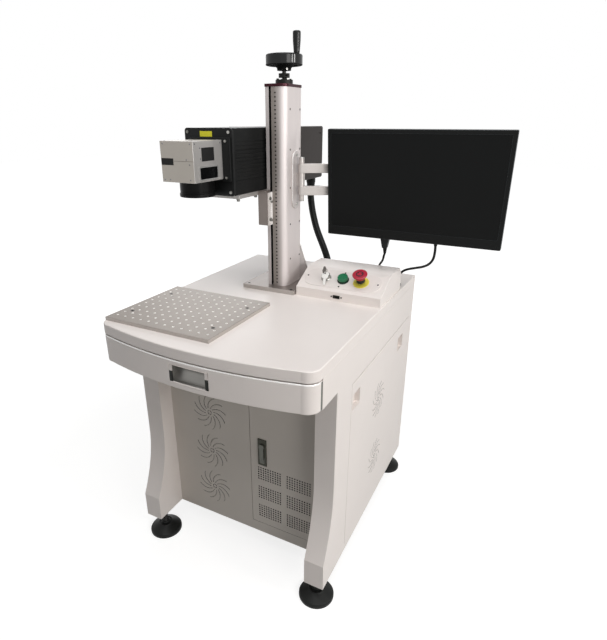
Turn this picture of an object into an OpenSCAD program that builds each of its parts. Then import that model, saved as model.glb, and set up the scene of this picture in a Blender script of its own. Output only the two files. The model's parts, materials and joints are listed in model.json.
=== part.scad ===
// Laser marking machine: cabinet on levelling feet, drilled work plate, lifting laser head and monitor arm.
// Millimetres. +Z is up, +X to the operator's right, -Y towards the operator.
// The origin lies on the floor under the middle of the cabinet.

/* [Table] */
// Width of the table and of the cabinet
table_w = 586; // [560:2:640]
// Distance from the origin to the table's front corners
table_front = 385; // [380:1:400]
// Distance from the origin to the rear edge
table_back = 375; // [370:1:420]
// How far the middle of the front edge bows out ahead of its corners
table_bow = 31; // [20:1:45]
// Radius of the front corners
table_corner_r = 32; // [20:1:36]
// Height of the table's top face above the floor
table_h = 728; // [720:2:760]
// Thickness of the table slab
slab_t = 27; // [20:1:32]
// Sheet thickness of the table slab
slab_sheet = 3; // [2:0.5:4]

/* [Cabinet] */
// Width of each side frame, which is also the width of its front leg
frame_w = 54; // [46:1:58]
// Sheet thickness of the side frames
frame_sheet = 2; // [1.5:0.5:3]
// Height of the frames' lower edge above the floor
frame_bottom = 71; // [64:1:80]
// Height of the rail under the slab at each side
rail_h = 76; // [70:1:84]
// Distance from the origin to the front of the rails
rail_front = 345; // [335:1:350]
// Distance from the origin to the front of the straight part of the legs
leg_front = 262; // [250:1:275]
// Distance from the origin to the front of the leg's foot block
foot_front = 313; // [300:1:330]
// Height of the upright part of the foot block
foot_block_h = 77; // [60:1:90]
// Height above the foot block at which the leg is straight again
leg_curve_h = 202; // [150:1:240]
// Sheet thickness of panels, door and covers
panel_t = 2; // [1.5:0.5:2.5]
// Distance from the origin to the recessed front panel
panel_front = 214; // [205:1:225]
// Visible gap round doors and covers
panel_gap = 1.5; // [1.2:0.1:2.5]
// Depth of the folded edges of doors and covers
fold_d = 14; // [10:1:18]
// Radius of the swirl vents
vent_r = 54; // [40:1:58]
// Arms in each swirl vent
vent_arms = 12; // [8:1:16]
// Width of a vent's slots
vent_slot = 2; // [1.5:0.5:3]

/* [Door] */
// Left edge of the door, from the middle of the cabinet
door_left = 26; // [20:1:40]
// Width of the door
door_w = 207; // [190:1:208]
// Height of the door's lower edge above the floor
door_bottom = 106; // [95:1:120]
// Distance from the door's upper edge to the lower edge of the rails
door_head = 19; // [15:1:60]
// Side of the door's square holes
perf_hole = 4.2; // [3:0.1:5]
// Pitch of the door's square holes
perf_pitch = 7.5; // [6.5:0.1:8.5]
// Columns of holes in each group
perf_cols = 10; // [6:1:10]
// Rows of holes in each group
perf_rows = 6; // [4:1:6]
// Lock plate width
lock_w = 26; // [22:1:32]
// Lock plate height
lock_h = 84; // [70:1:90]

/* [Drawer] */
// Height of the drawer front
drawer_h = 70; // [64:1:71]
// Gap between the drawer front and the slab
drawer_gap = 3; // [2:0.5:4]
// Depth of the drawer's tray
tray_d = 430; // [380:5:460]
// Height of the drawer's tray
tray_h = 56; // [44:1:58]
// Sheet thickness of the drawer
drawer_sheet = 2.5; // [2:0.5:3]
// Width of the recessed pull
pull_w = 108; // [90:2:120]
// Height of the recessed pull
pull_h = 46; // [36:1:50]

/* [Work plate] */
// Width of the work plate
plate_w = 312; // [300:1:320]
// Depth of the work plate
plate_d = 275; // [260:1:280]
// Thickness of the work plate
plate_t = 9; // [8:0.5:12]
// Pitch of the tapped holes
hole_pitch = 25; // [20:1:25]
// Radius of the tapped holes
hole_r = 2.5; // [2:0.25:3]
// Columns of tapped holes
hole_cols = 12; // [8:1:12]
// Rows of tapped holes
hole_rows = 10; // [6:1:10]

/* [Column] */
// Width of the column
column_w = 58; // [56:1:64]
// Depth of the column
column_d = 90; // [86:1:96]
// Height of the column above its base plate
column_h = 524; // [500:4:560]
// Wall of the column
column_wall = 6; // [5:0.5:7]
// Radius of the column's front right edge
column_r = 20; // [14:1:22]
// Thickness of the base plate
base_t = 12; // [10:1:15]
// Width of the base plate
base_w = 166; // [160:1:170]
// Depth of the base plate
base_d = 190; // [180:1:196]
// Radius of the lead screw
screw_r = 8; // [6:0.5:9]
// Radius of the guide rods
rod_r = 5; // [4:0.5:6]
// Radius of the handwheel
wheel_r = 47.5; // [42:0.5:50]

/* [Head] */
// Height of the carriage's lower edge above the column's base plate at rest
carriage_up = 177; // [165:1:185]
// Height of the carriage
carriage_h = 88; // [80:1:92]
// Width of the laser body
laser_w = 140; // [130:1:146]
// Height of the laser body
laser_h = 158; // [150:1:166]
// Length of the laser body
laser_l = 525; // [480:5:540]
// Wall of the laser body
laser_wall = 3; // [2:0.5:4]
// Width of the scan head
galvo_w = 94; // [90:1:100]
// Depth of the scan head
galvo_d = 113; // [105:1:118]
// Height of the scan head
galvo_h = 91; // [86:1:96]
// Radius of the scan lens
lens_r = 42; // [36:0.5:44]
// Height of the scan lens
lens_h = 38; // [32:1:44]

/* [Control box] */
// Width of the control box
box_w = 247; // [240:1:250]
// Depth of the control box
box_d = 186; // [180:1:190]
// Height of the control box's front face
box_front_h = 26; // [24:1:30]
// Full height of the control box
box_h = 68; // [64:1:74]
// Sheet thickness of the control box
box_sheet = 1.5; // [1:0.5:2]
// Radius of the green button
button_r = 14; // [12:0.5:15]
// Radius of the emergency stop head
stop_r = 20.5; // [18:0.5:22]

/* [Monitor] */
// Width of the monitor
screen_w = 455; // [440:5:470]
// Height of the monitor
screen_h = 275; // [265:1:285]
// Thickness of the monitor at its edges
screen_t = 15; // [12:1:18]
// Forward lean of the monitor
screen_lean = 4.3; // [0:0.1:8]
// Length of the near arm link between its pins
near_l = 185; // [180:1:190]
// Length of the far arm link between its pins
far_l = 145; // [140:1:150]
// Height of each flat arm bar
bar_h = 24; // [20:1:26]

/* [Hidden] */

$fn = 48;
// Overrun of every cut past the face it starts from
over = 1;
// Clearance of a running fit, on the radius
run_fit = 0.05;
// Gap between pieces that rest or slide on each other but belong to different bodies
seat = 0.3;

// Table and cabinet
half_w = table_w / 2;
leg_in = half_w - frame_w;
slab_z = table_h - slab_t;
corner_x = half_w - table_corner_r;
bow_r = (corner_x * corner_x + table_bow * table_bow) / (2 * table_bow);
rail_z = slab_z - rail_h;
foot_block_z = frame_bottom + foot_block_h;
leg_straight_z = foot_block_z + leg_curve_h;
leg_steps = 14;
leg_close_y = panel_front - 3 * panel_t;
floor_z = frame_bottom + panel_t;
pad_r = 45;
pad_h = 12;
pad_dome_h = 26;
pad_neck_r = 20;
foot_stem_r = 7;
foot_nut_r = 13;
foot_nut_h = 11;
foot_in_x = 34;
foot_in_y = 37;
foot_x = half_w - foot_in_x;
foot_front_y = foot_in_y - foot_front;
foot_rear_y = table_back - foot_in_y;
cover_front_in = 46;
cover_back_in = 30;
cover_low_in = 21;
cover_top_in = 27;
cover_front_y = cover_front_in - panel_front;
cover_back_y = table_back - cover_back_in;
cover_low_z = frame_bottom + cover_low_in;
cover_top_z = rail_z - cover_top_in;
cup_w = 58;
cup_h = 50;
cup_d = 15;
cup_wall = 1.2;
cup_in_z = 57;
cup_edge = 3;
cup_in_y = 91;
cover_vent_y = 60;
cover_vent_in = 160;
cover_vent_step = 199;
cup_z = cover_top_z - cup_in_z;
cup_front_y = cover_front_y + panel_gap + cup_w / 2 + cup_edge;
cup_back_y = cover_back_y - cup_in_y;
cover_vent_zs = [cover_top_z - cover_vent_in, cover_top_z - cover_vent_in - cover_vent_step];

// Vents
vent_hub_share = 0.13;
vent_bend_share = 0.62;
vent_x = -105.5;
vent_low_in = 104;
vent_low_z = frame_bottom + vent_low_in;
vent_step = 128;

// Door
door_right = door_left + door_w;
door_top = rail_z - door_head;
door_h = door_top - door_bottom;
door_y = -panel_front - panel_t / 2;
hinge_r = 3.5;
hinge_pin_r = 1.8;
hinge_side = 1.75;
hinge_sunk = 0.3;
hinge_l = 14;
hinge_in_z = 80;
hinge_x = door_right + hinge_side;
hinge_y = door_y - hinge_r + hinge_sunk;
hinge_zs = [door_bottom + hinge_in_z, door_top - hinge_in_z];
perf_in_x = 22;
perf_in_z = 25;
perf_left_x = door_left + perf_in_x;
perf_group_step = 89.5;
perf_low_z = door_bottom + perf_in_z;
perf_row_step = 65.5;
lock_in_x = 25;
lock_in_z = 207;
lock_x = door_left + lock_in_x;
lock_z = door_bottom + lock_in_z;
lock_t = 3;
lock_axis_x = lock_x + lock_w / 2;
lock_axis_z = lock_z + lock_h * 0.74;
lock_shaft_r = 5;
lock_knob_r = 8;
lever_w = 12;
lever_t = 4;
lever_l = 40;
cam_l = 46;
cam_t = 3;
cam_y = door_y + fold_d + 2 * seat;

// Drawer
drawer_top_z = slab_z - drawer_gap;
drawer_z = drawer_top_z - drawer_h;
drawer_seam_gap = 2;
runner_w = 13;
tray_in_z = 8;
rail_depth = 10.5;
slide_in_z = 19;
drawer_seam = rail_front + drawer_seam_gap;
tray_w = 2 * leg_in - 2 * runner_w;
tray_z = drawer_z + tray_in_z;
rail_z0 = tray_z + slide_in_z;
slide_h = 25;
runner_t = 2;
runner_in = 5;
runner_front = rail_front - runner_in;
runner_l = 400;
pull_in_z = 13;
pull_lip = 4;
pull_z = drawer_z + pull_in_z;
pull_d = 24;
pull_scoop_r = 25;

// Work plate
plate_x = -134;
plate_y = -224.5;
grid_shift = 1;
grid_x = plate_x - grid_shift;
grid_y = plate_y;
plate_top = table_h + plate_t;
bolt_r = 3;
bolt_head_r = 5;
bolt_head_h = 6;
bolt_l = 16;
bolt_clear = 0.3;
plate_bolt_dx = 10 * hole_pitch / 2;
plate_bolt_dy = 6 * hole_pitch / 2;

// Column
column_x = -28.6;
column_y = 90;
column_front_y = column_y - column_d / 2;
column_back_y = column_y + column_d / 2;
column_right_x = column_x + column_w / 2;
column_left_x = column_x - column_w / 2;
base_x = -45;
base_y = 112;
base_z = table_h + base_t;
base_bolt_in = 13;
column_top = base_z + column_h;
slot_w = 6.5;
slot_in_x = 10.6;
slot_x = column_left_x + slot_in_x;
small_r = 3;
gusset_h = 110;
gusset_d = 67;
gusset_t = 3;
side_hole_r = 2.2;
side_hole_d = 4;
side_screw_in = 0.8;
side_hole_step = 98.7;
side_hole_in = 77;
side_hole_front = 17.5;
side_hole_back = 39;
side_hole_low = base_z + side_hole_in;
side_hole_ys = [column_y - side_hole_front, column_y + side_hole_back];
cap_t = 7;
cap_lip = 1.2;
axis_shift = 2.6;
axis_x = column_x + axis_shift;
axis_y = column_y;
rod_dy = 20;
neck_r = 5.2;
bearing_r = 22.5;
bearing_h = 10;
bearing_top = column_top + cap_t + bearing_h;
boss_r = 9;
boss_h = 2;
collar_up = 5;
collar_r = 14.3;
collar_h = 10;
collar_z = bearing_top + collar_up;
hub_up = 6;
hub_z = collar_z + collar_h + hub_up;
hub_low_r = 18;
hub_top_r = 25;
hub_low_h = 5;
hub_h = 14;
rim_z = hub_z + hub_h;
rim_h = 23;
rim_w = 14;
rim_round = 3;
web_t = 6;
wheel_top = rim_z + rim_h;
grip_angle = -11;
grip_x = axis_x + (wheel_r - rim_w / 2) * cos(grip_angle);
grip_y = axis_y + (wheel_r - rim_w / 2) * sin(grip_angle);
grip_h = 49;
grip_low_r = 7.8;
grip_mid_r = 9.6;
grip_top_r = 10;
grip_round = 2.5;
spindle_r = 3.5;

// Carriage and head
carriage_z = base_z + carriage_up;
tongue_gap = 0.25;
tongue_w = slot_w - 2 * tongue_gap;
tongue_x = slot_x + tongue_gap;
tongue_front_y = 20;
block_clear = 1.5;
bracket_w = 24.5;
bracket_x = tongue_x - bracket_w;
bracket_d = 24;
head_plate_t = 12;
head_plate_l = 119;
head_plate_front_y = -73;
head_plate_d = 270;
bracket_screw_in = 16;
head_screw_in = 12;
head_screw_step = 72;
laser_rise = 5;
laser_side_gap = 5.4;
laser_z = carriage_z + carriage_h + laser_rise;
laser_right_x = column_left_x - laser_side_gap;
laser_left_x = laser_right_x - laser_w;
laser_x = laser_right_x - laser_w / 2;
laser_front_y = -100;
laser_back_y = laser_front_y + laser_l;
laser_round = 10;
rib_count = 11;
rib_step = 9;
rib_cut = 1.2;
rib_h = 3;
rib_in_z = 34;
rib_l = 180;
rib_low_z = laser_z + rib_in_z;
flange_t = 7;
adapter_t = 5;
adapter_left = 6;
adapter_right = 23;
adapter_rise = 5;
adapter_screw_in = 8;
flange_lip = 0.6;
flange_r = 8;
galvo_in_x = 121;
galvo_up = 41;
lens_in_y = 45;
beam_in_x = 23;
galvo_left_x = laser_right_x - galvo_in_x;
galvo_x = galvo_left_x + galvo_w / 2;
flange_y = laser_front_y - flange_t;
galvo_back_y = flange_y - adapter_t;
galvo_front_y = galvo_back_y - galvo_d;
galvo_z = laser_z + galvo_up;
galvo_wall = 4;
beam_x = galvo_x - beam_in_x;
beam_z = galvo_z + galvo_h * 0.5;
beam_r = 11;
lens_y = galvo_back_y - lens_in_y;
lens_z = galvo_z - lens_h;
lens_lip = 1.5;
lens_lip_h = 8;
lens_neck_r = 29;
lens_glass_r = 35;
lens_glass_in = 3;
motor_r = 11;
motor_l = 25;
mirror_shaft_r = 2;
mirror_w = 14;
mirror_h = 15;
mirror_t = 2;
mirror_gap = 5;
gland_r = 15;
gland_h = 14;
flange_screw_in = 9;
socket_r = 4.5;
socket_h = 3;

// Control box
box_gap = 4;
box_x = base_x + base_w / 2 + box_gap;
box_front_y = 27;
box_back_y = box_front_y + box_d;
box_slope_d = 83;
box_rear_drop = 20;
box_rear_d = 18;
slope_z = table_h + box_front_h;
slope_a = atan2(box_h - box_front_h, box_slope_d);
slope_l = box_slope_d / cos(slope_a);
panel_up = 1;
panel_left = 1.8;
slope_mid = slope_l / 2 + panel_up;
panel_x = box_x + box_w / 2 - panel_left;
panel_l = 225;
panel_h = 68;
panel_plate_t = 1.2;
panel_screw_r = 2.5;
panel_screw_dx = 103;
panel_screw_ds = 28;
key_left = 48;
start_right = 3;
stop_right = 55;
key_x = panel_x - key_left;
start_x = panel_x + start_right;
stop_x = panel_x + stop_right;
key_r = 12;
key_h = 13;
key_slot = 3;
key_blade_w = 9;
key_blade_t = 2;
key_bow_r = 11;
switch_r = 10;
switch_l = 24;
start_base_h = 2;
start_cap_h = 9;
ring_r = 25;
ring_t = 1.5;
stop_neck_r = 12;
stop_neck_h = 19;
stop_cap_h = 14;
stop_travel = 4;
stop_pin_r = 4;
stop_pin_h = 8;
usb_w = 13;
usb_h = 5.6;
usb_d = 12;
usb_face_w = 20;
usb_face_h = 9;
usb_in_x = 122.4;
usb_in_z = 12;
usb_x = box_x + usb_in_x;
usb_z = table_h + usb_in_z;
usb_screw_dx = 14.4;
usb_screw_r = 2;

// Monitor arm and monitor
shoulder_out = 17.6;
shoulder_x = column_right_x + shoulder_out;
shoulder_y = 106;
arm_heading = 30;
bar_w = 20;
wall_plate_t = 4;
wall_plate_w = 45;
wall_plate_h = 154;
wall_plate_y = 103;
wall_plate_up = 293;
wall_plate_z = base_z + wall_plate_up;
bar_up = 253;
bar_low_z = base_z + bar_up;
bar_gap = 35;
bar_high_z = bar_low_z + bar_h + bar_gap;
arm_pin_r = 5;
arm_pin_over = 14;
arm_cap_r = 7;
barrel_r = 9;
elbow_x = shoulder_x + near_l * cos(arm_heading);
elbow_y = shoulder_y + near_l * sin(arm_heading);
far_heading = 2.6;
swivel_x = elbow_x + far_l * cos(far_heading);
swivel_y = elbow_y + far_l * sin(far_heading);
far_rise = 5;
far_z = bar_low_z + bar_h + far_rise;
far_h = 24;
swivel_r = 14;
swivel_pin_r = 6;
swivel_h = 23;
swivel_z = far_z + far_h + seat;
screen_x = swivel_x;
screen_y = 109;
screen_up = 287.4;
screen_z = base_z + screen_up;
hump_w = 330;
hump_low = 128;
hump_high = 80;
hump_d = 33;
hump_r = 18;
notch_w = 40;
notch_h = 35;
notch_x = 65;
bezel = 10;
bezel_low = 25;
bezel_d = 2;
glass_t = 1.5;
screen_back = screen_t + hump_d;
vesa_w = 100;
vesa_t = 4;
tilt_back = 25;
tilt_up = 20;
tilt_y = screen_y + (screen_back + tilt_back) * cos(screen_lean) - tilt_up * sin(screen_lean);
tilt_z = screen_z + (screen_back + tilt_back) * sin(screen_lean) + tilt_up * cos(screen_lean);
tilt_pin_r = 4;
tilt_ear_r = 9;
tilt_ear_t = 6;
tilt_block_w = 22;
plug_x = -73;
plug_in_y = 26;
plug_y = screen_t + plug_in_y;
plug_w = 32;
plug_d = 15;
plug_h = 45;
power_plug_w = 26;
power_plug_d = 20;
power_plug_h = 38;
power_plug_in_y = 21;
power_plug_y = screen_t + power_plug_in_y;

// Cords: radii and routes, with the points chosen by hand
conduit_r = 11;
signal_r = 3.2;
power_r = 3.5;
cord_sides = 10;
gland_top = 8;
conduit_route = [[-85, 385, 996], [-85, 385, 978], [-84, 383, 960], [-81, 379, 942], [-76, 374, 924],
    [-70, 368, 907], [-63, 362, 890], [-55, 355, 874], [-46, 347, 858], [-36, 339, 843], [-26, 332, 829],
    [-16, 325, 816], [-6, 318, 803], [3, 312, 790], [11, 307, 777], [17, 304, 764], [20, 302, 750],
    [20, 302, 736]];
signal_route = [[250, 163, 857.6], [250, 164, 849], [249, 167, 840], [246, 171, 831], [243, 177, 822],
    [239, 184, 814], [234, 192, 807], [229, 201, 801], [224, 210, 795], [220, 219, 788], [217, 227, 779],
    [215, 233, 769], [214, 236, 758], [214, 237, 747], [214, 237, 736]];
power_route = [[388, 155, 899], [388, 156, 888], [388, 157, 877], [388, 159, 866], [387, 162, 855],
    [385, 166, 844], [381, 171, 834], [375, 177, 825], [367, 184, 817], [357, 192, 810], [346, 200, 804],
    [334, 208, 799], [322, 215, 794], [310, 222, 789], [298, 229, 783], [288, 235, 776], [280, 240, 767],
    [275, 244, 757], [273, 246, 747], [273, 246, 736]];
table_glands = [[20, 302, 17], [214, 237, 9], [273, 246, 9]];

// Internals and fan
source_w = 200;
source_d = 290;
source_h = 95;
source_in_x = 22;
unit_wall = 2;
source_x = source_in_x - leg_in;
source_y = -120;
pc_w = 180;
pc_d = 380;
pc_h = 350;
pc_x = 40;
pc_y = -150;
fan_x = -100;
fan_z = 500;
fan_w = 120;
fan_t = 25;
fan_bore_r = 56;
fan_hub_r = 20;
fan_pin_r = 3;
fan_blades = 7;
fan_blade_t = 2.5;
fan_blade_w = 22;
fan_tilt = 35;

module box_at(x0, y0, z0, x1, y1, z1) {
    translate([x0, y0, z0]) cube([x1 - x0, y1 - y0, z1 - z0]);
}

// A Y-Z outline carried along X
module along_x(x0, x1) {
    translate([x0, 0, 0]) rotate([90, 0, 90]) linear_extrude(x1 - x0) children();
}

// An X-Z outline carried along Y
module along_y(y0, y1) {
    translate([0, y1, 0]) rotate([90, 0, 0]) linear_extrude(y1 - y0) children();
}

module rod_x(x0, x1, y, z, r) {
    translate([x0, y, z]) rotate([0, 90, 0]) cylinder(h = x1 - x0, r = r);
}

module rod_y(x, y0, y1, z, r) {
    translate([x, y0, z]) rotate([-90, 0, 0]) cylinder(h = y1 - y0, r = r);
}

module rod_z(x, y, z0, z1, r) {
    translate([x, y, z0]) cylinder(h = z1 - z0, r = r);
}

module rounded(w, h, r) {
    translate([-w / 2, -h / 2 + r]) square([w, h - 2 * r]);
    translate([-w / 2 + r, -h / 2]) square([w - 2 * r, h]);
    for (sx = [-1, 1], sy = [-1, 1])
        translate([sx * (w / 2 - r), sy * (h / 2 - r)]) circle(r);
}

module stadium(l, h) {
    translate([-(l - h) / 2, -h / 2]) square([l - h, h]);
    for (sx = [-1, 1])
        translate([sx * (l - h) / 2, 0]) circle(h / 2);
}

module table_plan(inset) {
    translate([-half_w + inset, -table_front + table_corner_r])
        square([table_w - 2 * inset, table_back + table_front - table_corner_r - inset]);
    for (sx = [-1, 1])
        translate([sx * corner_x, -table_front + table_corner_r]) circle(table_corner_r - inset);
    intersection() {
        translate([0, bow_r - table_front - table_bow]) circle(bow_r - inset, $fn = 720);
        translate([-corner_x, -table_front - table_bow - over])
            square([2 * corner_x, table_bow + table_corner_r + 2 * over]);
    }
}

// Side outline of a frame, drawn in by an inset, as Y and Z
function frame_outline(inset) = concat(
    [[-rail_front + inset, slab_z - inset], [table_back - inset, slab_z - inset],
     [table_back - inset, frame_bottom + inset], [-foot_front + inset, frame_bottom + inset]],
    [for (i = [0 : leg_steps]) let (s = 1 - i / leg_steps)
        [-leg_front - (foot_front - leg_front) * s * s + inset,
         leg_straight_z - leg_curve_h * s]],
    [[-leg_front + inset, rail_z + inset], [-rail_front + inset, rail_z + inset]]);

// One curved slot arm of a vent, from the hub to the rim
module vent_arm() {
    bend = vent_r * vent_bend_share;
    intersection() {
        translate([bend, 0]) difference() {
            circle(bend + vent_slot / 2);
            circle(bend - vent_slot / 2);
        }
        difference() {
            circle(vent_r);
            circle(vent_r * vent_hub_share * 2);
        }
        translate([-vent_r, 0]) square([3 * vent_r, 2 * vent_r]);
    }
}

module vent() {
    for (i = [0 : vent_arms - 1])
        rotate(i * 360 / vent_arms) vent_arm();
    difference() {
        circle(vent_r * vent_hub_share);
        circle(vent_r * vent_hub_share - vent_slot);
        for (a = [0, 90])
            rotate(a) square([2 * vent_r, vent_slot], center = true);
    }
}

module side_frame_right() {
    color("#E6DDD7") difference() {
        along_x(leg_in, half_w) polygon(frame_outline(0));
        intersection() {
            along_x(leg_in - over, half_w - frame_sheet) polygon(frame_outline(frame_sheet));
            box_at(leg_in - over, -leg_close_y, 0, half_w, table_back, rail_z);
        }
        along_x(leg_in + frame_sheet, half_w - frame_sheet) polygon(frame_outline(frame_sheet));
        box_at(half_w - frame_sheet - over, cover_front_y, cover_low_z, half_w + over, cover_back_y, cover_top_z);
    }
}

module side_frame_left() {
    mirror([1, 0, 0]) side_frame_right();
}

module table_top() {
    color("#E9E1DC") difference() {
        translate([0, 0, slab_z]) linear_extrude(slab_t) table_plan(0);
        translate([0, 0, slab_z - over]) linear_extrude(slab_t - slab_sheet + over) table_plan(slab_sheet);
        for (sx = [-1, 1], sy = [-1, 1]) {
            rod_z(grid_x + sx * plate_bolt_dx, grid_y + sy * plate_bolt_dy, slab_z, table_h + over,
                bolt_r + bolt_clear);
            rod_z(base_x + sx * (base_w / 2 - base_bolt_in), base_y + sy * (base_d / 2 - base_bolt_in),
                slab_z, table_h + over, bolt_r + bolt_clear);
        }
    }
}

module front_panel() {
    gap = panel_gap;
    color("#D8D0C8") {
        along_y(-panel_front, -panel_front + panel_t) difference() {
            translate([-leg_in, frame_bottom]) square([2 * leg_in, rail_z - frame_bottom]);
            translate([door_left - gap, door_bottom - gap]) square([door_w + 2 * gap, door_h + 2 * gap]);
            for (i = [0 : 2])
                translate([vent_x, vent_low_z + i * vent_step]) vent();
        }
        box_at(door_left - gap - panel_t, -panel_front + panel_t, door_bottom, door_left - gap,
            door_y + fold_d + seat, door_top);
    }
}

module floor_back_panel() {
    color("#D8D0C8") {
        along_y(table_back - panel_t, table_back) difference() {
            translate([-leg_in, frame_bottom]) square([2 * leg_in, slab_z - frame_bottom]);
            for (i = [0 : 2 : 4])
                translate([fan_x, fan_z]) difference() {
                    circle(fan_bore_r * (0.95 - i * 0.15));
                    circle(fan_bore_r * (0.87 - i * 0.15));
                    for (a = [45, 135])
                        rotate(a) square([3 * fan_bore_r, 3 * vent_slot], center = true);
                }
            for (i = [0 : 7])
                translate([fan_w, fan_z + (i - 4) * 2 * rail_depth]) stadium(fan_w, rail_depth / 2);
        }
        box_at(-leg_in, -panel_front + panel_t, frame_bottom, leg_in, table_back - panel_t, floor_z);
    }
}

module cover_cup(y) {
    x1 = half_w;
    difference() {
        box_at(x1 - cup_d, y - cup_w / 2, cup_z - cup_h / 2, x1, y + cup_w / 2, cup_z + cup_h / 2);
        along_x(x1 - cup_d + cup_wall, x1 + over)
            translate([y, cup_z]) rounded(cup_w - 4 * cup_wall, cup_h - 4 * cup_wall, 3 * cup_wall);
    }
}

module side_cover_right() {
    g = panel_gap;
    y0 = cover_front_y + g;
    y1 = cover_back_y - g;
    z0 = cover_low_z + seat;
    z1 = cover_top_z - g;
    color("#E6DDD7") {
        difference() {
            box_at(half_w - fold_d, y0, z0, half_w, y1, z1);
            box_at(half_w - fold_d - over, y0 + panel_t, z0 + panel_t, half_w - panel_t, y1 - panel_t, z1 - panel_t);
            for (y = [cup_front_y, cup_back_y])
                box_at(half_w - fold_d, y - cup_w / 2, cup_z - cup_h / 2, half_w + over, y + cup_w / 2,
                    cup_z + cup_h / 2);
            for (z = cover_vent_zs)
                along_x(half_w - panel_t - over, half_w + over) translate([cover_vent_y, z]) vent();
        }
        for (y = [cup_front_y, cup_back_y])
            cover_cup(y);
    }
}

module side_cover_left() {
    mirror([1, 0, 0]) side_cover_right();
}

module levelling_feet() {
    color("#1B1B1B") for (sx = [-1, 1], y = [foot_front_y, foot_rear_y])
        translate([sx * foot_x, y, 0]) {
            rotate_extrude() polygon([[0, 0], [pad_r, 0], [pad_r, pad_h * 0.7], [pad_r * 0.93, pad_h],
                [pad_neck_r, pad_dome_h], [foot_stem_r, pad_dome_h], [foot_stem_r, frame_bottom],
                [0, frame_bottom]]);
            translate([0, 0, frame_bottom - foot_nut_h]) cylinder(h = foot_nut_h, r = foot_nut_r, $fn = 6);
        }
}

module front_door() {
    color("#D8D0C8") {
        difference() {
            box_at(door_left, door_y, door_bottom, door_right, door_y + fold_d, door_top);
            box_at(door_left + panel_t, door_y + panel_t, door_bottom + panel_t, door_right - panel_t,
                door_y + fold_d + over, door_top - panel_t);
            along_y(door_y - over, door_y + panel_t + over)
                for (gx = [0, 1], gz = [0 : 2], i = [0 : perf_cols - 1], k = [0 : perf_rows - 1])
                    translate([perf_left_x + gx * perf_group_step + i * perf_pitch,
                        perf_low_z + gz * perf_row_step + k * perf_pitch])
                        square(perf_hole);
            rod_y(lock_axis_x, door_y - over, door_y + fold_d, lock_axis_z, lock_shaft_r + 2 * bolt_clear);
        }
        for (z = hinge_zs)
            difference() {
                union() {
                    rod_z(hinge_x, hinge_y, z - hinge_l / 2, z + hinge_l / 2, hinge_r);
                    box_at(door_right - fold_d, hinge_y, z - hinge_l / 2, hinge_x - hinge_pin_r - run_fit, door_y,
                        z + hinge_l / 2);
                }
                rod_z(hinge_x, hinge_y, z - hinge_l, z + hinge_l, hinge_pin_r + run_fit);
            }
    }
}

module door_hinges() {
    color("#B9B4AE") for (z = hinge_zs) {
        rod_z(hinge_x, hinge_y, z - 1.5 * hinge_l, z + 1.5 * hinge_l, hinge_pin_r);
        for (s = [-1, 1]) {
            low = s < 0 ? z - 1.5 * hinge_l : z + hinge_l / 2 + seat;
            high = s < 0 ? z - hinge_l / 2 - seat : z + 1.5 * hinge_l;
            rod_z(hinge_x, hinge_y, low, high, hinge_r);
            box_at(hinge_x, hinge_y, low, hinge_x + hinge_r, -panel_front, high);
        }
    }
}

module door_lock_plate() {
    color("#4E5049") along_y(door_y - lock_t, door_y) difference() {
        translate([lock_x, lock_z]) square([lock_w, lock_h]);
        translate([lock_axis_x, lock_axis_z]) circle(lock_shaft_r + run_fit);
    }
}

module door_lock_lever() {
    face = door_y - lock_t - seat;
    color("#8B8C88") {
        rod_y(lock_axis_x, face, cam_y + cam_t, lock_axis_z, lock_shaft_r);
        rod_y(lock_axis_x, face - lever_t, face, lock_axis_z, lock_knob_r);
        box_at(lock_axis_x - lever_w / 2, face - lever_t, lock_axis_z - lever_l, lock_axis_x + lever_w / 2, face,
            lock_axis_z);
        box_at(lock_axis_x - lever_w / 2, cam_y, lock_axis_z - cam_l, lock_axis_x + lever_w / 2, cam_y + cam_t,
            lock_axis_z);
    }
}

// The drawer front's block, drawn in by an inset
module drawer_block(inset, z0, z1) {
    intersection() {
        translate([0, 0, z0]) linear_extrude(z1 - z0) table_plan(inset);
        box_at(-table_w, -table_w, z0, table_w, -drawer_seam - inset, z1);
    }
}

module drawer_front() {
    color("#E6DDD7") difference() {
        drawer_block(0, drawer_z, drawer_top_z);
        drawer_block(drawer_sheet, drawer_z + drawer_sheet, drawer_top_z - drawer_sheet);
        box_at(-pull_w / 2, -table_w, pull_z, pull_w / 2, -table_front, pull_z + pull_h);
    }
}

module drawer_pull() {
    front = table_front + table_bow - drawer_sheet;
    x = pull_w / 2 + pull_lip;
    color("#9A9A96") difference() {
        intersection() {
            drawer_block(drawer_sheet, pull_z - pull_lip, pull_z + pull_h + pull_lip);
            box_at(-x, -table_w, drawer_z, x, -front + pull_d, drawer_top_z);
        }
        intersection() {
            rod_x(-pull_w / 2 + drawer_sheet, pull_w / 2 - drawer_sheet, -front - drawer_sheet, pull_z + pull_h / 2,
                pull_scoop_r - drawer_sheet);
            box_at(-pull_w, -front - pull_d, pull_z + drawer_sheet, pull_w, table_back, pull_z + pull_h - drawer_sheet);
        }
    }
}

module drawer_tray() {
    t = drawer_sheet;
    back = tray_d - drawer_seam;
    color("#CFC7C0") {
        difference() {
            box_at(-tray_w / 2, -drawer_seam, tray_z, tray_w / 2, back, tray_z + tray_h);
            box_at(-tray_w / 2 + t, -drawer_seam + t, tray_z + t, tray_w / 2 - t, back - t, tray_z + tray_h + over);
        }
        for (s = [-1, 1])
            box_at(s < 0 ? -tray_w / 2 - rail_depth : tray_w / 2, -drawer_seam + runner_t, rail_z0,
                s < 0 ? -tray_w / 2 : tray_w / 2 + rail_depth, back, rail_z0 + slide_h);
    }
}

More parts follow.
